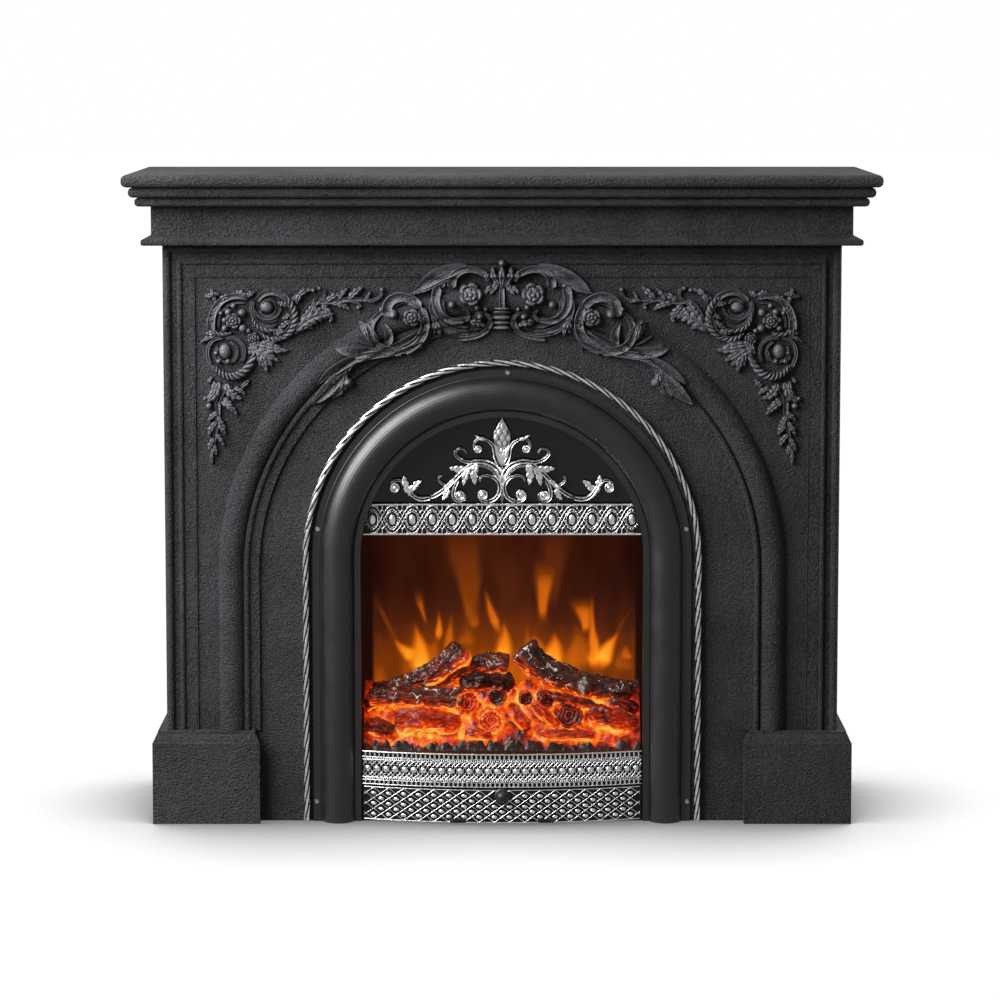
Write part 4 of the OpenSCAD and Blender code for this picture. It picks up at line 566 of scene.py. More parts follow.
def face_outwards():
    bpy.ops.mesh.select_all(action="SELECT")
    bpy.ops.mesh.normals_make_consistent(inside=False)


def lay(piece, place):
    """Move each vertex to place(its own coordinates), which gives x, y, z in mm and how proud it stands."""
    mesh = piece.data
    proud = mesh.attributes.new("relief", "FLOAT", "POINT")
    spots = [place(*v.co) for v in mesh.vertices]
    for v, (x, y, z, p) in zip(mesh.vertices, spots):
        v.co = (x * MM, y * MM, z * MM)
        proud.data[v.index].value = min(1, max(0, p))
    return piece


def sheet(place, across, along, back, down=0):
    """A closed sheet, as thick as back or down; place(u, t) lays its front, u from -1 to 1, t from 0 to 1."""
    clear()
    bpy.ops.mesh.primitive_grid_add(x_subdivisions=across, y_subdivisions=along, size=2)
    piece = lay(bpy.context.object, lambda u, t, _: place(u, t * 0.5 + 0.5))
    thick = {"value": (0, back * MM, -down * MM)}
    whole_mesh(lambda: bpy.ops.mesh.extrude_region_move(TRANSFORM_OT_translate=thick), face_outwards)
    return piece


def round_piece(place, segments, rings):
    """A closed round form: place(angle, t) lays it, with t from 0 at one end to 1 at the other."""
    clear()
    bpy.ops.mesh.primitive_uv_sphere_add(segments=segments, ring_count=rings, radius=1)

    def turned(x, y, z):
        return place(atan2(y, x), 1 - acos(max(-1, min(1, z))) / pi)
    return lay(bpy.context.object, turned)


def join_parts(name, parts):
    clear()
    for part in parts:
        part.select_set(True)
    bpy.context.view_layer.objects.active = parts[0]
    if len(parts) > 1:
        bpy.ops.object.join()
    piece = bpy.context.object
    piece.name = name
    piece.data.name = name
    bpy.ops.object.transform_apply(location=True, rotation=True, scale=True)
    return piece


def fit(name, parts, mat, *replaced, body="fireplace", smooth=38):
    """Join parts into one finished piece that rides on a body and may stand for CAD nodes."""
    piece = join_parts(name, parts)
    bpy.ops.object.shade_smooth_by_angle(angle=radians(smooth))
    piece.data.materials.clear()
    piece.data.materials.append(mat)
    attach(piece, body)
    if replaced:
        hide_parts(*replaced)
    return piece


def mirrored(piece):
    clear()
    piece.select_set(True)
    bpy.context.view_layer.objects.active = piece
    bpy.ops.object.duplicate()
    bpy.ops.transform.resize(value=(-1, 1, 1), center_override=(0, 0, 0))
    bpy.ops.object.transform_apply(location=True, rotation=True, scale=True)
    whole_mesh(face_outwards)
    return bpy.context.object


def in_a_row(piece, count, pitch):
    """Copies of a piece along X."""
    row = piece.modifiers.new("row", "ARRAY")
    row.count = count
    row.use_relative_offset = False
    row.use_constant_offset = True
    row.constant_offset_displace = (pitch * MM, 0, 0)
    bpy.context.view_layer.objects.active = piece
    bpy.ops.object.modifier_apply(modifier="row")
    return piece


# ---------------------------------------------------------------- carver's forms

SUNK = 0.3  # how far a form's rim stands off its ground


def hollow(u, depth):
    """Height across a scroll or petal with a raised rim on each side and a hollow between."""
    return max(0, 1 - u ** 8) ** 0.5 * (1 - depth + depth * abs(u) ** 2.4)


def leaf(ground, back, x0, z0, x1, z1, wide, bend, lobes, rise):
    """An acanthus leaf from foot to tip, bent sideways, with lobes swept forward; a petal has none."""
    dx, dz = x1 - x0, z1 - z0
    length = hypot(dx, dz)
    nx, nz = -dz / length, dx / length

    def place(u, t):
        s = t + 0.4 * abs(u) * t * (1 - t)
        off = 4 * s * (1 - s) * bend
        tx, tz = dx + 4 * (1 - 2 * s) * bend * nx, dz + 4 * (1 - 2 * s) * bend * nz
        run = hypot(tx, tz)
        full = max(0.06, sin(pi * min(1, 0.1 + 0.9 * t) ** 0.85)) ** 0.7
        lobe = abs(sin(pi * lobes * min(t, 0.999))) ** 0.6 if lobes else 1
        half = wide / 2 * full * (0.62 + 0.38 * lobe) * u
        x = x0 + dx * s + nx * off - tz / run * half
        z = z0 + dz * s + nz * off + tx / run * half
        dome = (1 - abs(u) ** 2.6) ** 0.5
        if not lobes:
            dish = hollow(u, 0.55)
            return x, ground(x, z) - rise * (0.3 + 0.7 * full) * dish - SUNK, z, dish * 1.2
        proud = (0.3 + 0.7 * full) * dome * (0.55 + 0.45 * (1 - abs(u) * (1 - lobe)))
        proud -= (0.24 if rise > 4 else 0.5) * exp(-(u / 0.17) ** 2) * full
        proud += 0.25 * dome * max(0, t - 0.72) / 0.28
        return x, ground(x, z) - rise * proud - SUNK, z, proud
    return sheet(place, 12, max(12, 6 * lobes), back)


def on_curve(t, x0, z0, x1, z1, x2, z2, x3, z3):
    """Point and direction on a curve of four points in the plane of the front."""
    a, b, c, d = (1 - t) ** 3, 3 * t * (1 - t) ** 2, 3 * t * t * (1 - t), t ** 3
    e, f, g = (1 - t) ** 2, 2 * t * (1 - t), t * t
    tx = e * (x1 - x0) + f * (x2 - x1) + g * (x3 - x2)
    tz = e * (z1 - z0) + f * (z2 - z1) + g * (z3 - z2)
    run = hypot(tx, tz) or 1
    return a * x0 + b * x1 + c * x2 + d * x3, a * z0 + b * z1 + c * z2 + d * z3, tx / run, tz / run


def band(ground, back, *row):
    """A scrolling stem: ribs side by side, or on a broad one a hollow between raised rims."""
    *path, w0, w1, rise = row
    rise = min(rise, 2 + 0.42 * max(w0, w1))
    ridges = 2 if max(w0, w1) < 7.6 or rise < 4 else 3
    groove = 0.9 if rise < 4 else 0.42
    broad = max(w0, w1) > 9 and rise > 4

    def place(u, t):
        x, z, dx, dz = on_curve(t, *path)
        near = max(0, abs(2 * t - 1) - 0.88) / 0.12
        end = max(0.04, 1 - near * near) ** 0.5
        half = (w0 + (w1 - w0) * t) / 2 * end * u
        ridge = 0.5 - 0.5 * cos(pi * (u + 1) * ridges)
        proud = max(0, 1 - u ** 4) ** 0.5 * (1 - groove + groove * ridge)
        if broad:
            proud = hollow(u, 0.62) * 1.3
        proud *= 0.5 + 0.5 * end
        x, z = x - dz * half, z + dx * half
        return x, ground(x, z) - rise * proud - SUNK, z, proud
    return sheet(place, 8 * ridges, 24, back)


def plait(ground, back, *row):
    """A curved acanthus band with slanting folds and a scalloped edge."""
    *path, w0, w1, folds, rise = row

    def place(u, t):
        x, z, dx, dz = on_curve(t, *path)
        end = max(0.04, sin(pi * (0.06 + 0.88 * t))) ** 0.45
        fold = abs(cos(pi * (folds * t + 0.6 * u)))
        half = (w0 + (w1 - w0) * t) / 2 * end * (0.86 + 0.14 * fold) * u
        proud = max(0, 1 - abs(u) ** 3) ** 0.5 * (0.5 + 0.5 * fold ** 0.7) * (0.4 + 0.6 * end)
        x, z = x - dz * half, z + dx * half
        return x, ground(x, z) - rise * proud - SUNK, z, proud
    return sheet(place, 14, max(24, 6 * folds), back)


def boss(ground, back, x0, z0, wide, tall, rise, shape, segments, rings):
    """A raised round form; shape(angle, out) gives its reach and height, with out from 0 to 1 at its rim."""
    def place(angle, t):
        out = 2 * (1 - t) if t >= 0.5 else 2 * t
        reach, proud = shape(angle, out)
        x, z = x0 + wide * reach * cos(angle), z0 + tall * reach * sin(angle)
        if t < 0.5:
            return x, ground(x, z) + back, z, 0
        return x, ground(x, z) - rise * proud - SUNK, z, proud
    return round_piece(place, segments, rings)


def bead(angle, out):
    return out, max(0, 1 - out * out) ** 0.5


def eye(angle, out):
    """The eye of a scroll: a ball in the middle of a ring that winds outwards."""
    turn = out * (1 + 0.12 * angle / pi)
    if turn < 0.46:
        return out, max(0, 1 - (turn / 0.5) ** 2) ** 0.5
    return out, (0.12 + 0.75 * sin(pi * min(1, (turn - 0.46) / 0.5)) ** 0.8) * max(0, 1 - out ** 12)


def bud(ground, back, x, z0, z1, wide, rise):
    """A pointed bud covered with a net of scales."""
    def place(u, t):
        full = max(0.02, sin(pi * min(0.999, t ** 0.72))) * (1.1 - 0.35 * t)
        dome = (1 - abs(u) ** 2.4) ** 0.5
        scale = abs(cos(pi * (1.5 * u + 3 * t)) * cos(pi * (1.5 * u - 3 * t))) ** 0.5
        y = ground(x, z0) - rise * dome * (0.7 + 0.3 * scale) - SUNK
        return x + wide / 2 * full * u, y, z0 + (z1 - z0) * t, dome * (0.12 + 0.88 * scale)
    return sheet(place, 18, 36, back)


def petals(angle, out):
    """Five outer petals with turned-up rims, an inner whorl between them and a bud."""
    outer = abs(cos(2.5 * angle))
    inner = abs(cos(2.5 * angle + pi / 2))
    reach = out * (1 - 0.2 * (1 - outer ** 0.5) * out)
    if out > 0.55:
        k = (out - 0.55) / 0.45
        proud = (0.42 + 0.34 * sin(pi * min(1, k * 0.8 + 0.1))) * (0.7 + 0.3 * outer ** 0.5)
        proud *= max(0, 1 - k ** 6)
    elif out > 0.24:
        k = (out - 0.24) / 0.31
        proud = (0.6 + 0.3 * sin(pi * (k * 0.75 + 0.15))) * (0.76 + 0.24 * inner ** 0.5)
    else:
        proud = 0.62 + 0.38 * cos(pi / 2 * out / 0.24)
    return reach, proud


LONG_FORMS = {"leaf": leaf, "band": band, "plait": plait, "bud": bud}
ROUND_FORMS = {"eye": (eye, 36, 30), "ring": (bead, 24, 12), "ball": (bead, 16, 12), "rose": (petals, 40, 28)}


def carve(table, ground, back):
    """Each row of a table made into its form."""
    parts = []
    for kind, rows in table.items():
        for row in rows:
            if kind in LONG_FORMS:
                parts.append(LONG_FORMS[kind](ground, back, *row))
            else:
                x, z, *reach, rise = row
                parts.append(boss(ground, back, x, z, reach[0], reach[-1], rise, *ROUND_FORMS[kind]))
    return parts


# ---------------------------------------------------------------- carved ornaments of the mantel

def mantel_face(x, z):
    """The y of the front under the ornaments: field, arch moulding and the roll along the head."""
    reach = hypot(x, z - ARCH_Z)
    if z > HEAD_Z:
        return FACE - 5.4
    if z < ARCH_Z or reach < ARCH_BAND or reach > ARCH_OUT:
        return FACE
    if reach < ARCH_ROLL:
        return FACE - (4 if reach < ARCH_BEAD else 8.3)
    middle, half = (ARCH_ROLL + ARCH_OUT) / 2, (ARCH_OUT - ARCH_ROLL) / 2
    return FACE - 13 * sqrt(max(0, 1 - ((reach - middle) / half) ** 2))


corner_left = join_parts("corner_leaves_left", carve(CORNER, mantel_face, 3))
corner_right = mirrored(corner_left)
fit("corner_leaves_left", [corner_left], CARVED, "corner_ornament_left", smooth=50)
fit("corner_leaves_right", [corner_right], CARVED, "corner_ornament_right", smooth=50)

crest_half = join_parts("crest_half", carve(CREST, mantel_face, 3))
crest_parts = [crest_half, mirrored(crest_half)] + carve(TORCH, mantel_face, 3)
fit("crest_leaves", crest_parts, CARVED, "crest_ornament", smooth=50)


# ---------------------------------------------------------------- silver rope round the hearth

def rope_point(s):
    """The rope's middle line: up the left leg, round the arch, down the right leg."""
    arc = pi * ROPE_R
    if s < SPRING:
        return -ROPE_R, s, -1.0, 0.0
    if s < SPRING + arc:
        a = pi - (s - SPRING) / ROPE_R
        return ROPE_R * cos(a), SPRING + ROPE_R * sin(a), cos(a), sin(a)
    return ROPE_R, SPRING - (s - SPRING - arc), 1.0, 0.0


def twisted(angle, t):
    """Four strands laid round each other."""
    length = 2 * SPRING + pi * ROPE_R
    s = min(length, max(0, t * length))
    x, z, ox, oz = rope_point(s)
    lobe = abs(cos(2 * (angle - 2 * pi * s / ROPE_LAY)))
    r = ROPE_THICK * (0.68 + 0.32 * lobe ** 0.7) * (0 if t < 1e-4 or t > 1 - 1e-4 else 1)
    return (x + ox * r * cos(angle), FACE - 4.6 - r * sin(angle), z + oz * r * cos(angle),
            lobe ** 1.4)


rope = round_piece(twisted, 32, 560)
whole_mesh(face_outwards)
fit("twisted_rope", [rope], SILVER, "rope_trim", smooth=60)


# ---------------------------------------------------------------- silver frets of the insert

def flat_at(y):
    return lambda x, z: y


def arch_half(z):
    """Half the width of the hearth opening at a height, less a gap of a millimetre."""
    rise = max(0, z - SPRING)
    return sqrt(max(0, (OPENING_R - 1) ** 2 - rise * rise))


def strand(ground, back, x0, z0, x1, z1, wide, rise, along=2):
    """A straight half-round rod."""
    run = hypot(x1 - x0, z1 - z0)
    sx, sz = -(z1 - z0) / run * wide / 2, (x1 - x0) / run * wide / 2

    def place(u, t):
        proud = sqrt(max(0, 1 - u * u))
        x, z = x0 + (x1 - x0) * t + sx * u, z0 + (z1 - z0) * t + sz * u
        return x, ground(x, z) - rise * proud - 0.1, z, 0.25 + 0.75 * proud
    return sheet(place, 6, along, back)


fret_half = join_parts("fret_half", carve(FRET, flat_at(FRET_BACK), 2.2))
fret_middle = carve(FRET_MIDDLE, flat_at(FRET_BACK), 2.2)
fit("scrolled_fret", [fret_half, mirrored(fret_half)] + fret_middle, SILVER, "crest_fret", smooth=60)


def band_plate():
    """The dark sheet behind the ovals, painted near-black as the shade seen through the pierced band."""
    def place(u, t):
        z = BAND_Z + BAND_H * t
        return arch_half(z) * u, BAND_BACK + 0.4, z, 0.0
    return sheet(place, 40, 12, 1.8)


def oval_ring(ground, x0, z0, wide, tall, thick, rise):
    """A raised oval ring."""
    clear()
    tube = 0.3
    bpy.ops.mesh.primitive_torus_add(major_radius=1, minor_radius=tube, major_segments=28, minor_segments=8)

    def place(x, y, z):
        angle, out = atan2(y, x), (hypot(x, y) - 1) / tube
        px = x0 + cos(angle) * (wide + out * thick / 2)
        pz = z0 + sin(angle) * (tall + out * thick / 2)
        return px, ground(px, pz) - rise * z / tube, pz, 0.2 + 0.8 * max(0, z / tube)
    return lay(bpy.context.object, place)


def wave(turn, aside, wide, rise):
    """One of the two winding strands that cross between the ovals."""
    reach, half = 19.6, 6.5 * OVAL_PITCH + 2

    def place(u, t):
        x = half * (2 * t - 1)
        slope = -turn * reach * pi / OVAL_PITCH * cos(pi * x / OVAL_PITCH)
        run = hypot(1, slope)
        off = aside + wide / 2 * u
        proud = sqrt(max(0, 1 - u * u))
        return (x - slope / run * off, BAND_BACK + 0.1 - rise * proud,
                BAND_MID - turn * reach * sin(pi * x / OVAL_PITCH) + off / run, 0.2 + 0.8 * proud)
    return sheet(place, 6, 260, 1.0)


# Short rods between two ovals, from the rim inwards: x and height of both ends, width and rise
BAND_RODS = (
    (0, BAND_EDGE, 0, 15.4, 2.2, 1.8), (0, 15.8, -4.4, 10.6, 1.7, 1.6), (0, 15.8, 4.4, 10.6, 1.7, 1.6),
    (8.6, BAND_EDGE, 7.4, 18.4, 1.7, 1.6), (-8.6, BAND_EDGE, -7.4, 18.4, 1.7, 1.6),
)


def band_waves():
    parts = [wave(turn, aside, 1.5, 1.8) for turn in (1, -1) for aside in (-2.5, 2.5)]
    for k in range(-6, 7):
        x = k * OVAL_PITCH
        for up in (1, -1):
            for xa, za, xb, zb, *size in BAND_RODS:
                za, zb = BAND_MID + up * za, BAND_MID + up * zb
                parts.append(strand(flat_at(BAND_BACK), 1, x + xa, za, x + xb, zb, *size))
    return parts


def band_ovals():
    """Domed ovals in a bright ring, with small beads round it along the winding strands."""
    parts = []
    for k in range(-7, 7):
        x = (k + 0.5) * OVAL_PITCH
        parts.append(boss(flat_at(BAND_BACK), 1.5, x, BAND_MID, 5.9, 9.4, 4.2, bead, 20, 14))
        parts.append(oval_ring(flat_at(BAND_BACK - 0.2), x, BAND_MID, 8.9, 12.6, 1.9, 1.9))
        for n in range(16):
            a = 2 * pi * (n + 0.5) / 16
            px, pz = x + 11.6 * cos(a), BAND_MID + 15.6 * sin(a)
            if hypot(px, pz - SPRING) < OPENING_R - 2:
                parts.append(boss(flat_at(BAND_BACK - 0.2), 1, px, pz, 1.2, 1.5, 1.8, bead, 8, 6))
    return parts


def band_rims():
    parts = []
    for z in (BAND_Z + BAND_RIM / 2, BAND_Z + BAND_H - BAND_RIM / 2):
        half = arch_half(z + BAND_RIM / 2)
        parts.append(strand(flat_at(BAND_BACK + 0.2), 1.5, -half, z, half, z, BAND_RIM, 2.6, 40))
    return parts


def net_lines(low, high, half):
    """The crossing lines of a net of diamonds between two heights, cut off at its sides."""
    lines = []
    for way in (1, -1):
        slope = way * NET_X / NET_Z
        for k in range(-14, 15):
            xa, xb = (k + 0.5) * NET_X, (k + 0.5) * NET_X + slope * (high - low)
            cut = []
            for x, z in ((xa, low), (xb, high)):
                if abs(x) > half:
                    edge = copysign(half, x)
                    z = low + (high - low) * (edge - xa) / (xb - xa)
                    x = edge
                cut.append((x, z))
            if all(low - 0.01 <= z <= high + 0.01 for _, z in cut) and abs(cut[0][1] - cut[1][1]) > 2:
                lines.append((*cut[0], *cut[1]))
    return lines


fit("band_back", [band_plate()], FRET_SHADE_BACKING, "upper_band")
fit("oval_band", band_waves() + band_ovals() + band_rims(), SILVER, smooth=60)


def bow(piece, extra):
    """Push a flat piece out on the curve of the bowed front, and a little further."""
    for v in piece.data.vertices:
        x = v.co.x / MM
        v.co.y += (BOW_CENTRE - sqrt(BOW_R ** 2 - x * x) - extra) * MM
    return piece


def bowed_cell():
    """One pearl of the bowed band with its pointed loops above and below."""
    z, half, flat = BOW_TOP - 29.0, CELL / 2, flat_at(0)
    rods = ((1.2, 6.4, half, 13.6, 2.0, 1.6), (0, 13.6, half, 6.6, 2.0, 1.6),
            (half, 6.8, half - 1.9, 3.4, 1.5, 1.3), (half - 1.9, 3.4, half - 2.2, 0, 1.4, 1.3))
    parts = [boss(flat, 1, 0, z, 5.6, 5.8, 4.6, bead, 20, 14)]
    for side in (1, -1):
        for way in (1, -1):
            parts += [strand(flat, 1, way * xa, z + side * za, way * xb, z + side * zb, *size)
                      for xa, za, xb, zb, *size in rods]
        parts += [boss(flat, 1, half, z + side * 6.8, 1.9, 1.9, 2.1, bead, 8, 6)]
    return join_parts("bowed_cell", parts)


def teeth(z, tall, pitch, count):
    """A row of small upright leaves between dark gaps."""
    tooth = strand(flat_at(0), 1, 0, z - tall / 2, 0, z + tall / 2, pitch * 0.5, 2.0)
    tooth.location.x = -pitch * (count - 1) / 2 * MM
    return in_a_row(tooth, count, pitch)


def bowed_rim(z, wide, rise):
    """A rod along the whole band."""
    half = OPENING_R - 2
    return strand(flat_at(0), 1.2, -half, z, half, z, wide, rise, 80)


def band_grain():
    """Small grains along the plain strips, under the upper and over the lower row of leaves."""
    parts = []
    for z in (BOW_TOP - 12.4, BOW_TOP - 45.6):
        grain_row = boss(flat_at(0), 0.6, 0, z, 1.2, 1.7, 2.1, bead, 8, 6)
        grain_row.location.x = -GRAIN_PITCH * 73 * MM
        parts.append(in_a_row(grain_row, 147, GRAIN_PITCH))
    return parts


# Rods along the bowed band: distance from its top, width and rise
BOW_RIMS = (
    (1.5, 3.0, 2.8), (10.2, 1.6, 1.7), (14.6, 1.8, 1.9), (43.4, 1.8, 1.9), (47.8, 1.6, 1.7), (54.8, 2.0, 2.2),
)

cell = bowed_cell()
cell.location.x = -CELL * (CELLS - 1) / 2 * MM
bowed_parts = [in_a_row(cell, CELLS, CELL)] + band_grain()
for drop, wide, rise in BOW_RIMS:
    bowed_parts.append(bowed_rim(BOW_TOP - drop, wide, rise))
for drop, tall in ((6.4, 6.4), (51.0, 5.6)):
    bowed_parts.append(teeth(BOW_TOP - drop, tall, CELL / 2, 2 * CELLS))
bowed = bow(join_parts("bowed_lace", bowed_parts), 0.6)
fit("bowed_lace", [bowed], SILVER, smooth=60)


def flap_net():
    """Diamonds of thin ridges with a bump in each, over the drop-down flap."""
    low, high, half = 4.5, FLAP_HIGH - 1.6, OPENING_R - 4.5
    parts = [strand(flat_at(0), 0.8, *line, 1.5, 1.1, 6) for line in net_lines(low, high, half)]
    for row in range(7):
        z = low + NET_Z / 2 * row
        shift = 0.5 if row % 2 else 0
        for k in range(-10, 11):
            x = (k + shift) * NET_X
            if abs(x) < half - 5 and low + 2 < z < high - 2 and hypot(x, z - KNOB_Z) > 13:
                parts.append(boss(flat_at(0), 0.8, x, z, 5.2, 3.3, 3.2, bead, 14, 10))
    for z, wide in ((low - 0.4, 1.6), (high, 1.8)):
        parts.append(strand(flat_at(0), 0.8, -half, z, half, z, wide, 1.2, 60))
    return bow(join_parts("flap_net", parts), 0.2)


fit("flap_net", [flap_net()], SILVER, body="flap", smooth=60)


# ---------------------------------------------------------------- flame picture, logs and embers

def soft(x):
    x = min(1, max(0, x))
    return x * x * (3 - 2 * x)


def ripple(*spot):
    """Smooth noise at a point, from -1 to 1."""
    return noise.noise(Vector(spot))


def flame_at(x, z):
    """Brightness of the flame picture at a point of the screen."""
    near = soft((380 - z) / 190)
    middle = exp(-((x + 10) / 150) ** 2)
    cloud = ripple(x / 60, z / 150, 3.1)
    wisp = ripple(x / 15, z / 70, 9.7)
    level = 0.03 + 0.09 * middle + (0.36 + 0.1 * middle) * near  # the glow behind the flames
    level += 0.06 * cloud + (0.03 + 0.06 * near) * wisp
    for n, (x0, z0, x1, z1, wide, bright) in enumerate(FANS + TONGUES):
        dx, dz = x1 - x0, z1 - z0
        length = hypot(dx, dz)
        s = ((x - x0) * dx + (z - z0) * dz) / length ** 2
        if s < -0.5 or s > 1.15:
            continue
        off = abs(((x - x0) * dz - (z - z0) * dx) / length + 0.07 * wide * sin(4 * s + x0) + 1.5 * wisp)
        if n < len(FANS):  # widens upwards
            half = wide / 2 * (0.3 + 0.7 * soft(s))
            fade = soft((s + 0.12) / 0.3) * soft((1.1 - s) / 0.6)
            edge = 1.1 * half
        else:  # ends in a point
            half = wide / 2 * (1.12 * max(0.0, 1 - max(0, s) ** 1.4) * min(1, 1 + s) - 0.12)
            fade = soft((s + 0.5) / 0.5) * soft((1.12 - s) / 0.25)
            edge = 0.5 * wide + 1.5
        body = soft(0.5 + (half - off) / edge) * fade
        lit = bright * (0.96 - 0.2 * max(0, s) + 0.1 * wisp)
        level += (max(level, lit) - level) * body
    return level * soft((x - PICTURE_LEFT) / 5) * soft((PICTURE_RIGHT - x) / 4)


def flame_sheet():
    low, high = [[c / MM for c in corner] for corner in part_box("flame_screen")]

    def place(u, t):
        x, z = low[0] + (high[0] - low[0]) * (u * 0.5 + 0.5), low[2] + (high[2] - low[2]) * t
        return x, low[1], z, flame_at(x, z)
    return sheet(place, 170, 170, high[1] - low[1])


fit("flame_picture", [flame_sheet()], FLAMES, "flame_screen", smooth=30)


def bark(angle, run, seed):
    """Height of the bark's ridges at an angle and a distance along a log, and how near a crack is."""
    spot = Vector((cos(angle) * 2.4, sin(angle) * 2.4, run / 44 + seed))
    fine = Vector((cos(angle) * 4.4, sin(angle) * 4.4, run / 20 + seed * 2))
    ridges = noise.noise(spot) * 0.7 + abs(noise.noise(fine)) * 0.75 + noise.noise(fine * 2.4) * 0.3
    return ridges, max(0, 1 - abs(noise.noise(fine * 0.7)) * 6)


def log_piece(path, r0, r1, seed, knots, lit, blunt=5, rough=0.34, rings=(64, 96)):
    """A bark-covered log along a bent path of four points, with knots given as (t, angle, height)."""
    p0, p1, p2, p3 = [Vector(p) for p in path]
    length = (p1 - p0).length + (p2 - p1).length + (p3 - p2).length

    def place(angle, t):
        s = min(1, max(0, t))
        a, b, c, d = (1 - s) ** 3, 3 * s * (1 - s) ** 2, 3 * s * s * (1 - s), s ** 3
        centre = p0 * a + p1 * b + p2 * c + p3 * d
        way = ((p1 - p0) * (1 - s) ** 2 + (p2 - p1) * 2 * s * (1 - s) + (p3 - p2) * s * s).normalized()
        side = way.cross(Vector((0, 1, 0))).normalized()
        front = way.cross(side)
        near = max(0, abs(2 * s - 1) - 1 + 0.6 / blunt) * blunt / 0.6
        end = max(0, 1 - near ** blunt) ** 0.5  # rounds off both ends
        ridges, crack = bark(angle, s * length, seed)
        r = (r0 + (r1 - r0) * s) * (0.88 + rough * ridges) * end
        for kt, ka, tall in knots:
            turn = (angle - ka + pi) % (2 * pi) - pi
            r += tall * exp(-(hypot((s - kt) * length, turn * r0) / 12) ** 2) * end
        spot = centre + (side * cos(angle) + front * sin(angle)) * r
        below = soft((centre.z - spot.z) / r0 * 0.7 + 0.25)
        glow = 0.75 * crack * (0.25 + 0.75 * below) + 0.55 * below ** 2 - 0.12 + lit + 0.16 * ridges
        return spot.x, spot.y, spot.z, glow
    piece = round_piece(place, *rings)
    whole_mesh(face_outwards)
    return piece


def log_stump(x, y, z, r, long, lean, seed, lit):
    """A short log that points at the viewer, with year rings on its cut end."""
    way = Vector((lean[0], -1, lean[1])).normalized()
    side = way.cross(Vector((0, 0, 1))).normalized()
    up = side.cross(way)

    def place(angle, t):
        ridges, crack = bark(angle, t * long, seed)
        if t < 0.6:
            s, reach = t / 0.6, r * (0.9 + 0.22 * ridges) * soft(t / 0.1)
            glow = 0.5 * crack + lit * 0.7
        else:
            s, out = 1, (1 - t) / 0.4
            uneven = ripple(cos(angle) * out * 2, sin(angle) * out * 2, seed)
            ring = cos(out * 21 + 5 * uneven)
            reach = r * out * (0.9 + 0.22 * ridges * out)
            s += (0.05 * ring - 0.12 * (1 - out)) * soft((1 - out) * 6)
            glow = lit + 0.13 * ring + 0.25 * soft((out - 0.8) / 0.2) + 0.3 * crack * out
        spot = Vector((x, y, z)) + way * long * s + (side * cos(angle) + up * sin(angle)) * reach
        return spot.x, spot.y, spot.z, glow
    piece = round_piece(place, 40, 54)
    whole_mesh(face_outwards)
    return piece


# The four large logs: piece, node, path, radius at both ends, seed, knots and glow
LOGS = (
    ("bark_log_back", "log_back",
     ((-116, -24, 208), (-70, -24, 232), (-30, -24, 246), (12, -26, 240)), 16, 19, 1.3,
     ((0.9, 1.4, 4),), 0.28),
    ("bark_log_left", "log_left",
     ((-212, -52, 200), (-150, -52, 212), (-100, -48, 226), (-64, -44, 274)), 14, 20, 4.1,
     ((0.62, 1.4, 5), (0.93, 2.6, 8)), 0.28),
    ("bark_log_right", "log_right",
     ((214, -52, 200), (140, -52, 212), (76, -50, 214), (30, -44, 272)), 18, 25, 7.7,
     ((0.36, 1.3, 14), (0.12, 1.6, 7), (0.95, 2.2, 6)), 0.13),
    ("bark_log_front", "log_front",
     ((-217, -74, 196), (-165, -75, 199), (-110, -74, 197), (-62, -72, 189)), 15, 21, 2.9,
     ((0.3, 1.0, 6),), 0.3),
)
for name, node, *shape in LOGS:
    fit(name, [log_piece(*shape)], BARK, node, smooth=50)


# Smaller logs moulded into the heap: those lying across it, and those that show their cut ends
LYING = (
    ((-176, -84, 158), (-140, -88, 163), (-105, -88, 163), (-68, -84, 150), 19, 17, 12.3, 0.44),
    ((16, -88, 182), (24, -92, 172), (32, -94, 162), (42, -95, 150), 9, 10, 14.1, 0.46),
    ((48, -86, 190), (62, -90, 178), (76, -92, 164), (92, -95, 150), 8, 8, 15.7, 0.48),
    ((140, -84, 172), (165, -88, 168), (190, -86, 160), (220, -82, 152), 18, 15, 16.2, 0.34),
    ((-214, -86, 152), (-205, -90, 152), (-192, -92, 148), (-178, -92, 138), 14, 13, 18.9, 0.3),
    ((-70, -34, 206), (-40, -34, 216), (-10, -36, 216), (20, -38, 204), 17, 17, 21.3, 0.12),
    ((56, -70, 200), (84, -76, 196), (120, -78, 190), (152, -76, 182), 8, 9, 23.4, 0.3),
    ((-60, -92, 140), (-45, -96, 142), (-32, -97, 140), (-18, -97, 134), 9, 8, 25.1, 0.48),
    ((60, -97, 140), (90, -98, 138), (120, -98, 140), (150, -96, 136), 8, 8, 27.6, 0.44),
    ((-222, -60, 176), (-218, -62, 182), (-212, -62, 186), (-200, -60, 188), 11, 12, 29.2, 0.3),
    ((176, -66, 186), (192, -68, 184), (206, -66, 178), (220, -64, 168), 12, 14, 31.4, 0.26),
)
CUT_ENDS = (
    (-64, -64, 189, 21, 24, (0.35, 0.0), 3.3, 0.42), (-20, -78, 160, 20, 20, (0.1, 0.05), 5.9, 0.5),
    (-5, -64, 197, 15, 22, (-0.2, 0.1), 8.2, 0.04), (37, -64, 194, 12, 20, (0.1, 0.1), 9.1, 0.1),
    (68, -66, 192, 13, 22, (0.2, 0.0), 6.4, 0.12), (107, -74, 168, 23, 22, (0.15, 0.1), 2.2, 0.2),
)
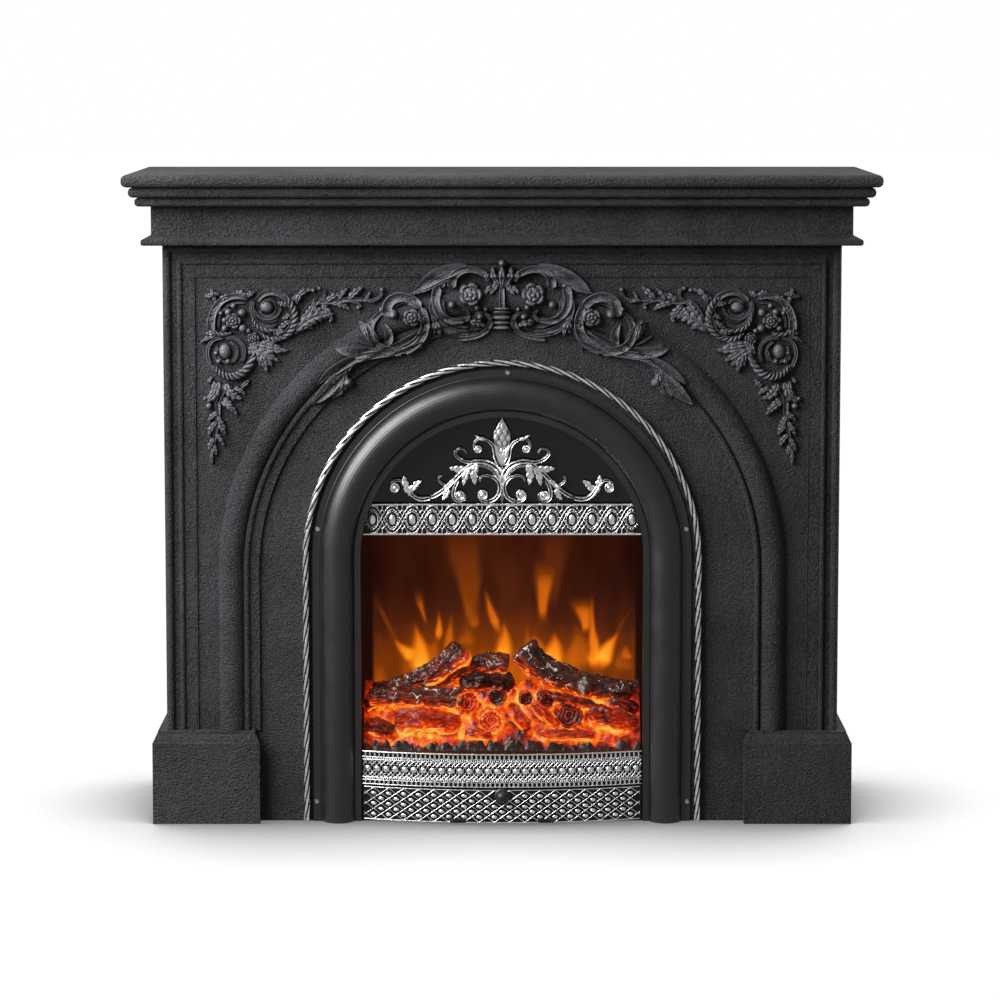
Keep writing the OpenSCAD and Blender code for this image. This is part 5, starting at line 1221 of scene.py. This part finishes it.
# Where the light of the embers breaks through: x, z and reach
HOT_SPOTS = (
    (-181, 168, 12), (-151, 136, 13), (-69, 138, 12), (-58, 166, 11), (126, 176, 12), (112, 148, 12),
    (20, 236, 10), (4, 222, 10), (-110, 186, 12), (60, 168, 9), (-120, 138, 10), (10, 146, 9), (186, 140, 8),
    (160, 186, 9),
)


def seam(x, z):
    """How near a point of the heap is to the outline of a moulded log, from 1 on it to 0."""
    nearest = 99.0
    for (xa, _, za), _, _, (xb, _, zb), r0, r1, *_ in LYING:
        dx, dz = xb - xa, zb - za
        s = min(1, max(0, ((x - xa) * dx + (z - za) * dz) / (dx * dx + dz * dz)))
        nearest = min(nearest, abs(hypot(x - xa - dx * s, z - za - dz * s) - (r0 + (r1 - r0) * s)))
    for xc, _, zc, r, *_ in CUT_ENDS:
        nearest = min(nearest, abs(hypot(x - xc, z - zc) - r))
    return exp(-(nearest / 4.5) ** 2)


def heat_at(x, z):
    """How much of the light that breaks through reaches a point of the heap."""
    return sum(exp(-(hypot(x - xs, z - zs) / reach) ** 2) for xs, zs, reach in HOT_SPOTS)


def ember_heap():
    """The heap of embers behind a charred ledge: two sizes of lumps with glowing gaps, rising to the logs."""
    (x0, _, z0), (x1, y1, _) = [[c / MM for c in corner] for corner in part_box("ember_bed")]
    x0, x1 = x0 + 12, x1 - 12

    def place(u, t):
        x = x0 + (x1 - x0) * (u * 0.5 + 0.5)
        ledge = BOW_CENTRE - sqrt((BOW_R - 4.2) ** 2 - x * x)
        y = ledge + (y1 - ledge) * t
        back = y - LEDGE_FRONT  # how far behind the ledge's edge
        rise = 6 + 84 * soft(back / 66) ** 0.8 - 34 * soft((back - 92) / 30)
        near, next_near = noise.voronoi(Vector((x / 34, y / 15 + 0.006 * x, 5.5)))[0][:2]
        small_near, small_next = noise.voronoi(Vector((x / 12, y / 6, 1.5)))[0][:2]
        lump = min(1, (next_near - near) / 0.34) ** 0.6
        fine = min(1, (small_next - small_near) / 0.3)
        edge = soft((back + 3) / 6)
        crust = soft((back + 5) / 4) * soft((8 - back) / 8) * (1 + 4 * abs(ripple(x / 4, 3, 1)))
        z = z0 + LEDGE_H + (rise + 12 * lump + 4 * fine - 8) * edge + crust
        patch = ripple(x / 46, z / 22, 8)
        hot = 0.2 + 0.32 * (1 - lump) + 0.2 * (1 - fine) + 0.4 * patch
        hot += 0.36 * seam(x, z) + 0.3 * heat_at(x, z)
        hot *= 0.45 + 0.55 * soft((236 - abs(x)) / 50)
        crumb = 3 * ripple(x / 7, 0.5, 4)
        return x, y, z, hot * soft((back - 1 + crumb) / 5)
    across, along = 200, 100
    heap = sheet(place, across, along, 0, 20)
    for v in heap.data.vertices[(across + 1) * (along + 1):]:
        v.co.z = z0 * MM
    return heap


def charred_pieces():
    """The smaller logs moulded into the heap."""
    lying = [log_piece(path, r0, r1, seed, ((0.4, 1.2, 0.4 * r0),), lit, 2, 0.55, (48, 72))
             for *path, r0, r1, seed, lit in LYING]
    return lying + [log_stump(*row) for row in CUT_ENDS]


fit("ember_heap", [ember_heap()] + charred_pieces(), EMBERS, "ember_bed", smooth=50)

# ---------------------------------------------------------------- floor

clear()
bpy.ops.mesh.primitive_plane_add(size=60, location=(0, 0, -0.0005))
floor = bpy.context.object
floor.name = "studio_floor"
floor_paint, floor_shader = finish_base("studio_white", grey(0.9), 0.9)
away = put(floor_paint, "VectorMath", [(0, object_place(floor_paint))], operation="LENGTH").outputs["Value"]
haze = between(floor_paint, away, 0.7, 1.7, 0.95, 1.0)
tint(floor_paint, floor_shader, haze, [(0.95, grey(0.035)), (1.0, grey(0.0))])
# Painted contact shadow: the floor's white glow is dimmed by ambient occlusion close under and around the
# piece.
open_sky = put(floor_paint, "AmbientOcclusion", Distance=0.42, samples=16).outputs["AO"]
painted_contact_shadow = between(floor_paint, open_sky, 0.5, 0.93, 0.2, 1.0)
glow_with_painted_shadow = maths(floor_paint, "MULTIPLY", haze, painted_contact_shadow)
floor_shader.inputs["Emission Color"].default_value = (1, 1, 1, 1)
floor_paint.node_tree.links.new(glow_with_painted_shadow, floor_shader.inputs["Emission Strength"])
floor.data.materials.append(floor_paint)
floor.visible_diffuse = False
floor.visible_glossy = False
